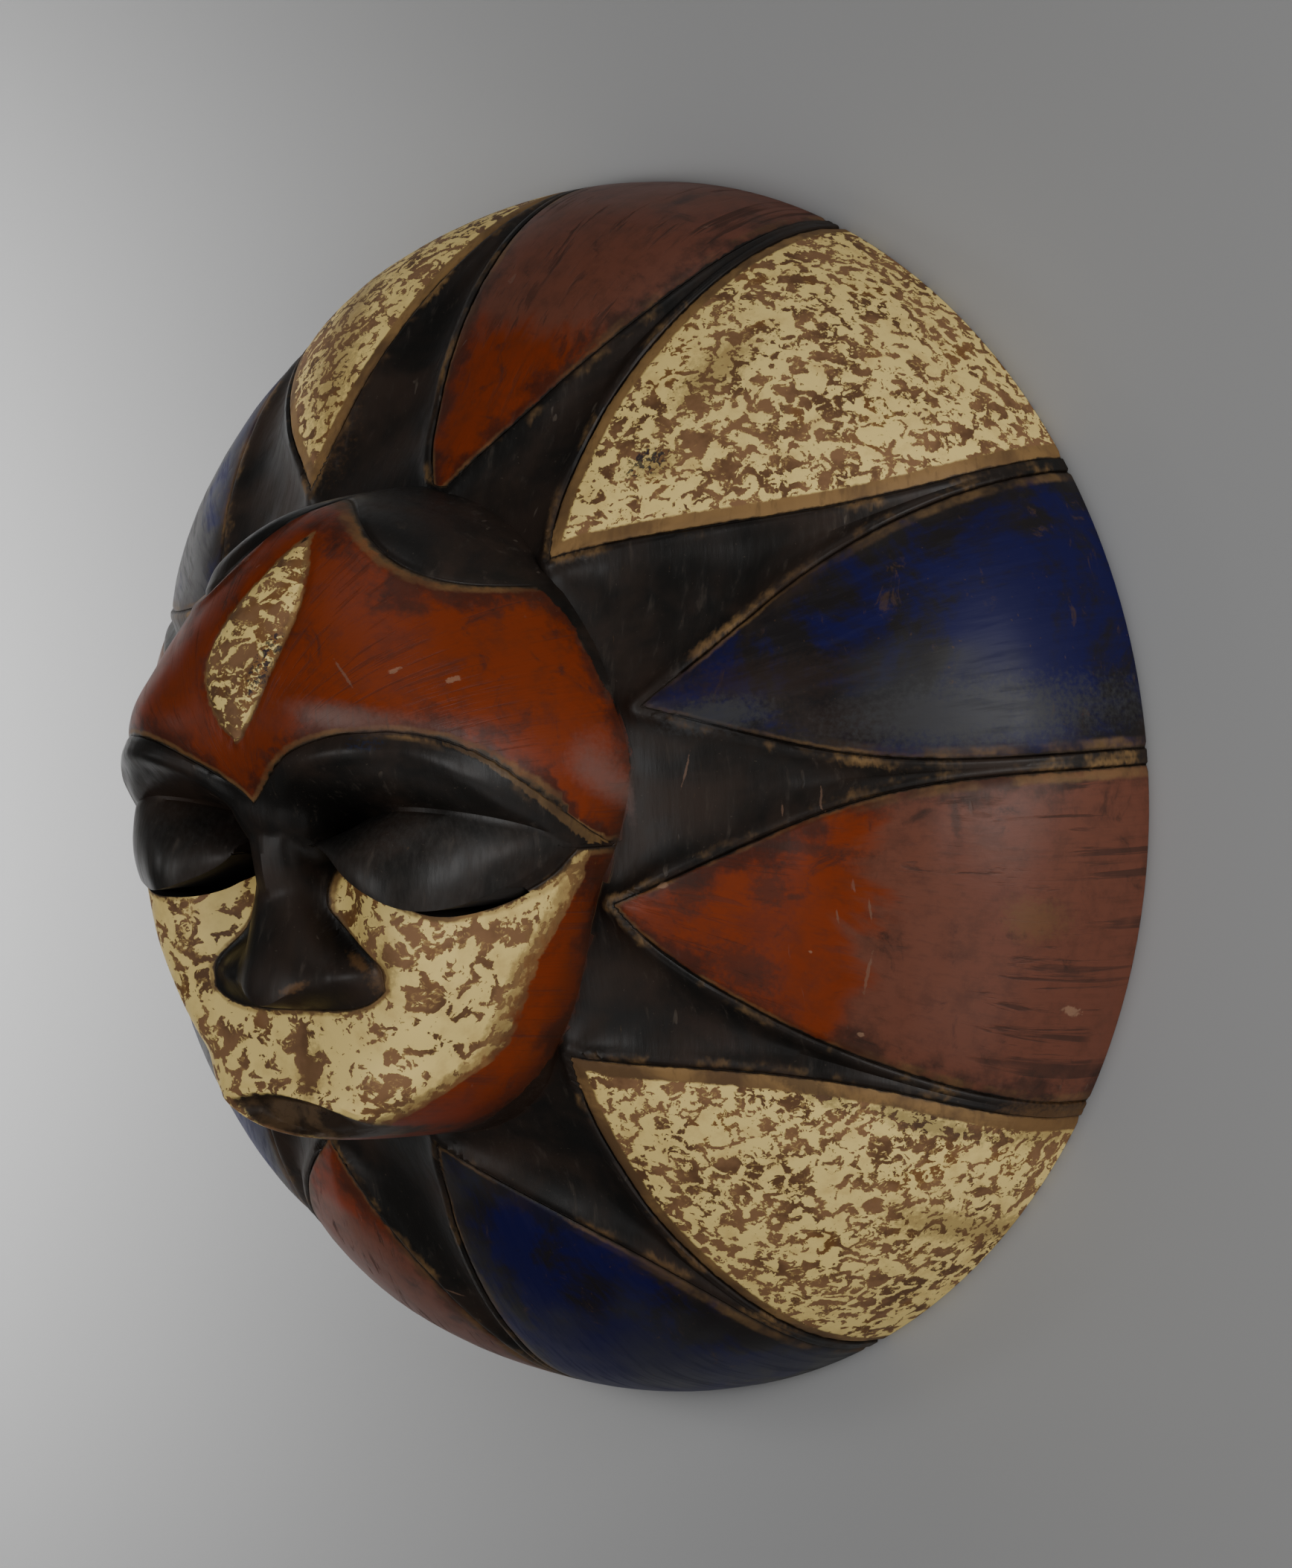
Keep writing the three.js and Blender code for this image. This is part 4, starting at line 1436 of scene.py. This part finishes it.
@dataclass
class Dressing:
    """Puts the finishes on the mask, each inside its carved border, with worn edges along the borders."""

    wood: BareWood = field(default_factory=BareWood)
    stain: BlackStain = field(default_factory=BlackStain)
    red: BrickRed = field(default_factory=BrickRed)
    blue: DeepBlue = field(default_factory=DeepBlue)
    cream: FlakedCream = field(default_factory=FlakedCream)
    traces: tuple[Trace, ...] = (SMUDGES, STAINS, PAINTED_SHEEN, SCRATCHES, CHIPS, FLECKS, SMALL_HOLE_SHADE, PAINTED_HIGHLIGHTS)
    # Painted shade, dark brown, at the foot of the face's wall.
    painted_wall_shade: Colour = (0.03, 0.014, 0.008)
    # Painted sheen, pale grey, over the lids.
    lid_sheen: Colour = (0.06, 0.055, 0.05)
    mouth_dark: Colour = (0.03, 0.018, 0.01)
    mouth_light: Colour = (0.1, 0.06, 0.03)
    # Painted shade, near black, along the cut grooves.
    groove: Colour = (0.014, 0.009, 0.006)
    handled: Colour = (0.05, 0.028, 0.016)
    # Painted shade, near black, deep in the hollow and in the eye slits.
    painted_hollow_shade: Colour = (0.01, 0.007, 0.005)
    gloss: float = 0.26

    def _start(self, name: str) -> tuple[bpy.types.Material, Graph, bpy.types.Node, Socket]:
        """Makes a material.

        Args:
            name: Its name.

        Returns:
            The material, its nodes, its shader and the place it is read at.
        """
        material = bpy.data.materials.new(name)
        material.use_nodes = True
        graph = Graph(material.node_tree)
        shader = material.node_tree.nodes["Principled BSDF"]
        return material, graph, shader, graph.node("TexCoord").outputs["Object"]

    @staticmethod
    def _finish(graph: Graph, shader: bpy.types.Node, coat: Coat) -> None:
        """Feeds the shader with a coat."""
        graph.feed(shader.inputs["Base Color"], coat.colour)
        graph.feed(shader.inputs["Roughness"], coat.rough)
        graph.feed(shader.inputs["Normal"], graph.bump(coat.height))

    def front(self) -> bpy.types.Material:
        """Makes the material of the carved front.

        Returns:
            The material, with the paints inside their borders, the worn wood, the shades and the marks.
        """
        material, graph, shader, place = self._start("painted_front")
        uneven = graph.swing(graph.cloud(place, 230, 4, 0.6), 2.4)
        edges = ("black_edge", "cream_edge", "crisp")
        black_edge, cream_edge, crisp = (graph.attribute(name) for name in edges)
        rough_edge = graph.plus(black_edge, graph.times(uneven, graph.blend(crisp, 2.2, 1.0)))
        painted = graph.span(rough_edge, 0.5, 1.0)
        creamy = graph.span(graph.plus(cream_edge, uneven), 0.2, 0.7)
        bluish = graph.span(graph.attribute("blue_edge"), -1.0, 1.0)
        grime = graph.plus(black_edge, graph.swing(graph.cloud(place, 58, 5, 0.66), 46.0))
        finishes = (self.red, self.blue, self.stain, self.cream, self.wood)
        red, blue, stain, cream, wood = (finish.use(graph, place) for finish in finishes)
        coat = Coat(graph, *red.outputs)
        coat.cover(bluish, blue)
        coat.cover(graph.span(grime, 10, 0, (0.0, 0.66)), stain)
        coat.cover(creamy, cream)
        coat.cover(graph.minus(1.0, painted), stain)
        coat.cover(graph.times(self._bare(graph, place, black_edge, cream_edge, uneven), crisp), wood)
        self._shade(graph, place, coat, wood, uneven)
        # Painted shade along the cut groove at every black border; the bump also presses the groove in.
        groove = graph.times(graph.band(black_edge, 0.0, 0.1, 0.25), crisp)
        coat.tint(graph.times(groove, 0.7), self.groove)
        coat.height = graph.minus(coat.height, graph.times(groove, 0.25))
        rough = graph.cloud(place, 620, 3, 0.6)
        for trace in self.traces:
            coat.colour = trace.over(graph, place, coat.colour, rough)
        self._finish(graph, shader, coat)
        graph.feed(shader.inputs["Specular IOR Level"], self.gloss)
        return material

    def _shade(self, graph: Graph, place: Socket, coat: Coat, wood: bpy.types.Node, uneven: Value) -> None:
        """Tints the low wall of the face with painted shade, the lids with a painted sheen, the corner over
        the eye and the mouth.

        Args:
            graph: The material's nodes.
            place: Where the surface is read.
            coat: The coat that is tinted.
            wood: The finish of bare wood.
            uneven: Noise in millimetres that roughens the borders.
        """
        hatch = graph.cloud(graph.stretch(place, 1, 0.25, 1), 620, 3, 0.6)
        # Painted shade on the low wall of the face.
        coat.tint(graph.times(graph.attribute("painted_wall_shade"), 0.6), self.painted_wall_shade)
        # Painted sheen: the lids are lightened towards grey in fine streaks.
        sheen_share = graph.span(hatch, 0.35, 0.7, (0.08, 0.25))
        coat.tint(graph.times(graph.attribute("lid"), sheen_share), self.lid_sheen)
        corner = graph.plus(graph.attribute("corner"), graph.swing(hatch, 1.6))
        coat.tint(graph.span(corner, 0.3, 0.7, (0.0, 0.5)), wood.outputs["Color"])
        mouth = graph.span(graph.plus(graph.attribute("mouth_edge"), uneven), -0.3, 0.8)
        clouds = graph.span(graph.cloud(place, 90, 4, 0.6), 0.45, 0.65)
        coat.tint(mouth, graph.mix(clouds, self.mouth_dark, self.mouth_light))

    def _bare(
        self, graph: Graph, place: Value, black_edge: Value, cream_edge: Value, uneven: Value
    ) -> Socket:
        """Finds where the paint has worn off down to the wood.

        Args:
            graph: The material's nodes.
            place: Where the surface is read.
            black_edge: The distance from the nearest border of the black stain.
            cream_edge: The distance from the nearest border of the cream paint.
            uneven: Noise in millimetres that roughens the borders.

        Returns:
            A mask of bare wood.
        """
        patches = graph.cloud(place, 45, 4, 0.62)
        hairs = graph.cloud(graph.stretch(place, 1, 0.2, 1), 520, 3, 0.6)
        wander = graph.plus(black_edge, graph.times(uneven, 0.8))
        on_disc = graph.attribute("disc")
        near_rim = graph.span(graph.from_middle(place), 0.13, 0.19)
        thin, wide = graph.band(wander, 1.1, 0.5, 0.6), graph.band(wander, 2.2, 1.5, 0.8)
        band = graph.blend(on_disc, graph.band(wander, 1.1, 0.7, 0.5), graph.blend(near_rim, thin, wide))
        shown = graph.span(patches, graph.blend(on_disc, 0.2, 0.38), graph.blend(on_disc, 0.42, 0.6))
        inner = graph.times(band, shown, 0.5)
        band = graph.blend(on_disc, graph.band(wander, 1.0, 0.8, 0.6), graph.band(wander, 2.6, 2.2, 0.5))
        shown = graph.span(patches, graph.blend(on_disc, 0.42, 0.0), graph.blend(on_disc, 0.56, 0.1))
        cream_inner = graph.times(band, shown, graph.span(cream_edge, 0, 1))
        ridge = graph.band(graph.plus(wander, graph.swing(hairs, 5.0)), -1.8, 1.2, 1.2)
        ridge = graph.times(ridge, graph.span(patches, 0.5, 0.66), graph.attribute("ridge"), 0.75)
        line = graph.band(graph.plus(cream_edge, uneven), 0.4, 0.8, 0.4)
        line = graph.times(line, graph.span(patches, 0.3, 0.46), graph.span(black_edge, 0.0, 1.0, (0.0, 0.7)))
        return graph.most(inner, cream_inner, ridge, line)

    def back(self) -> bpy.types.Material:
        """Makes the material of the hollow back.

        Returns:
            The material: plain brown wood darkened by handling, and painted shade, near black, deep behind
                the face and on the walls of the eye slits.
        """
        material, graph, shader, place = self._start("hollow_wood")
        wood = self.wood.use(graph, place)
        gouge = graph.cloud(graph.stretch(place, 1, 0.4, 1), 70, 2, 0.4)
        height = graph.plus(wood.outputs["Height"], graph.times(gouge, 0.6))
        coat = Coat(graph, wood.outputs["Color"], wood.outputs["Roughness"], height)
        coat.tint(0.45, self.handled)
        apart = graph.node("SeparateXYZ")
        graph.feed(apart.inputs[0], place)
        # Painted shade: near black higher up in the hollow, deep behind the face and in the slits.
        coat.tint(graph.span(apart.outputs["Z"], 0.11, 0.15), self.painted_hollow_shade)
        self._finish(graph, shader, coat)
        return material


@dataclass(frozen=True)
class Lamp:
    """A square soft light: its place, its width in metres, its watts, its aim and its spread in degrees."""

    name: str
    spot: tuple[float, float, float]
    size: float
    power: float
    aim: tuple[float, float, float] = (0.0, 0.0, 0.1)
    spread: float = 180.0


@dataclass
class Stage:
    """The pale floor, the soft light and the camera.

    The camera's turn, rise and roll are in degrees, and its focal length is in pixels of the photograph.
    """

    lamps: tuple[Lamp, ...] = (
        Lamp("front_left", (0.036, -0.02, 1.098), 0.45, 2.65),
        Lamp("low_right", (1.18, 0.15, 0.34), 0.6, 6.3),
        Lamp("from_below", (1.164, -0.905, 0.376), 0.8, 2.3),
        Lamp("below_left", (0.151, -0.671, 1.083), 0.6, 0.8),
        Lamp("from_above", (0.31, 1.112, 0.427), 0.6, 1.2),
        Lamp("floor_wash", (-0.6, 0.05, 0.52), 0.4, 3.6, (-0.54, 0.0, 0.0), 90.0),
    )
    room_light: float = 0.19
    floor_size: float = 9.0
    floor_grey: float = 0.38
    spot: tuple[float, float, float] = (1.00445, 0.05721, 1.24411)
    turn: float = 38.944012
    rise: float = 1.997804
    roll: float = -1.846593
    focal_pixels: float = 6378.646
    photo_height: int = 2107
    sensor: float = 36.0

    def _axes(self) -> tuple[Vector, Vector, Vector]:
        """Works out how the camera is turned.

        Returns:
            Its right, up and backward directions.
        """
        turn, rise, roll = (math.radians(v) for v in (self.turn, self.rise, self.roll))
        back = Vector((math.sin(turn) * math.cos(rise), math.sin(rise), math.cos(turn) * math.cos(rise)))
        side = Vector((math.cos(turn), 0, -math.sin(turn)))
        above = back.cross(side)
        right = side * math.cos(roll) + above * math.sin(roll)
        return right, above * math.cos(roll) - side * math.sin(roll), back

    def camera(self) -> None:
        """Adds the camera at the photograph's viewing angle."""
        right, up, back = self._axes()
        bpy.ops.object.camera_add()
        camera = bpy.context.object
        camera.name = "camera"
        camera.matrix_world = Matrix.Translation(self.spot) @ Matrix((right, up, back)).transposed().to_4x4()
        camera.data.sensor_width = self.sensor
        camera.data.lens = self.focal_pixels / self.photo_height * self.sensor
        camera.data.dof.use_dof = False
        bpy.context.scene.camera = camera

    def floor(self) -> None:
        """Adds the plain pale floor."""
        just_under = (0, 0, -0.2 * MM)
        bpy.ops.mesh.primitive_plane_add(size=self.floor_size, location=just_under)
        floor = bpy.context.object
        floor.name = "floor"
        material = bpy.data.materials.new("pale_floor")
        material.use_nodes = True
        shader = material.node_tree.nodes["Principled BSDF"]
        shader.inputs["Base Color"].default_value = (*[self.floor_grey] * 3, 1)
        shader.inputs["Roughness"].default_value = 0.9
        floor.data.materials.append(material)

    def _lamp(self, lamp: Lamp) -> None:
        """Adds one square soft light."""
        bpy.ops.object.light_add(type="AREA", location=lamp.spot)
        light = bpy.context.object
        light.name = lamp.name
        light.data.size = lamp.size
        light.data.energy = lamp.power
        light.data.spread = math.radians(lamp.spread)
        light.rotation_euler = (Vector(lamp.spot) - Vector(lamp.aim)).to_track_quat("Z", "Y").to_euler()

    def lights(self) -> None:
        """Adds the soft lights and a dim room."""
        for lamp in self.lamps:
            self._lamp(lamp)
        world = bpy.data.worlds.new("room")
        bpy.context.scene.world = world
        world.use_nodes = True
        background = world.node_tree.nodes["Background"]
        background.inputs["Color"].default_value = (0.5, 0.5, 0.5, 1)
        background.inputs["Strength"].default_value = self.room_light


def main() -> None:
    """Builds the mask, the floor, the lights and the camera."""
    logging.basicConfig(level=logging.INFO, format="%(message)s")
    dressing = Dressing()
    piece = CarvedMask((dressing.front(), dressing.back())).build()
    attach(piece, "root")
    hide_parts("carved_mask")
    log.info("mask: %d vertices, %d faces", len(piece.data.vertices), len(piece.data.polygons))
    stage = Stage()
    stage.floor()
    log.info("floor: laid")
    stage.lights()
    log.info("lights: set")
    stage.camera()
    log.info("camera: set")


if __name__ == "__main__":
    main()
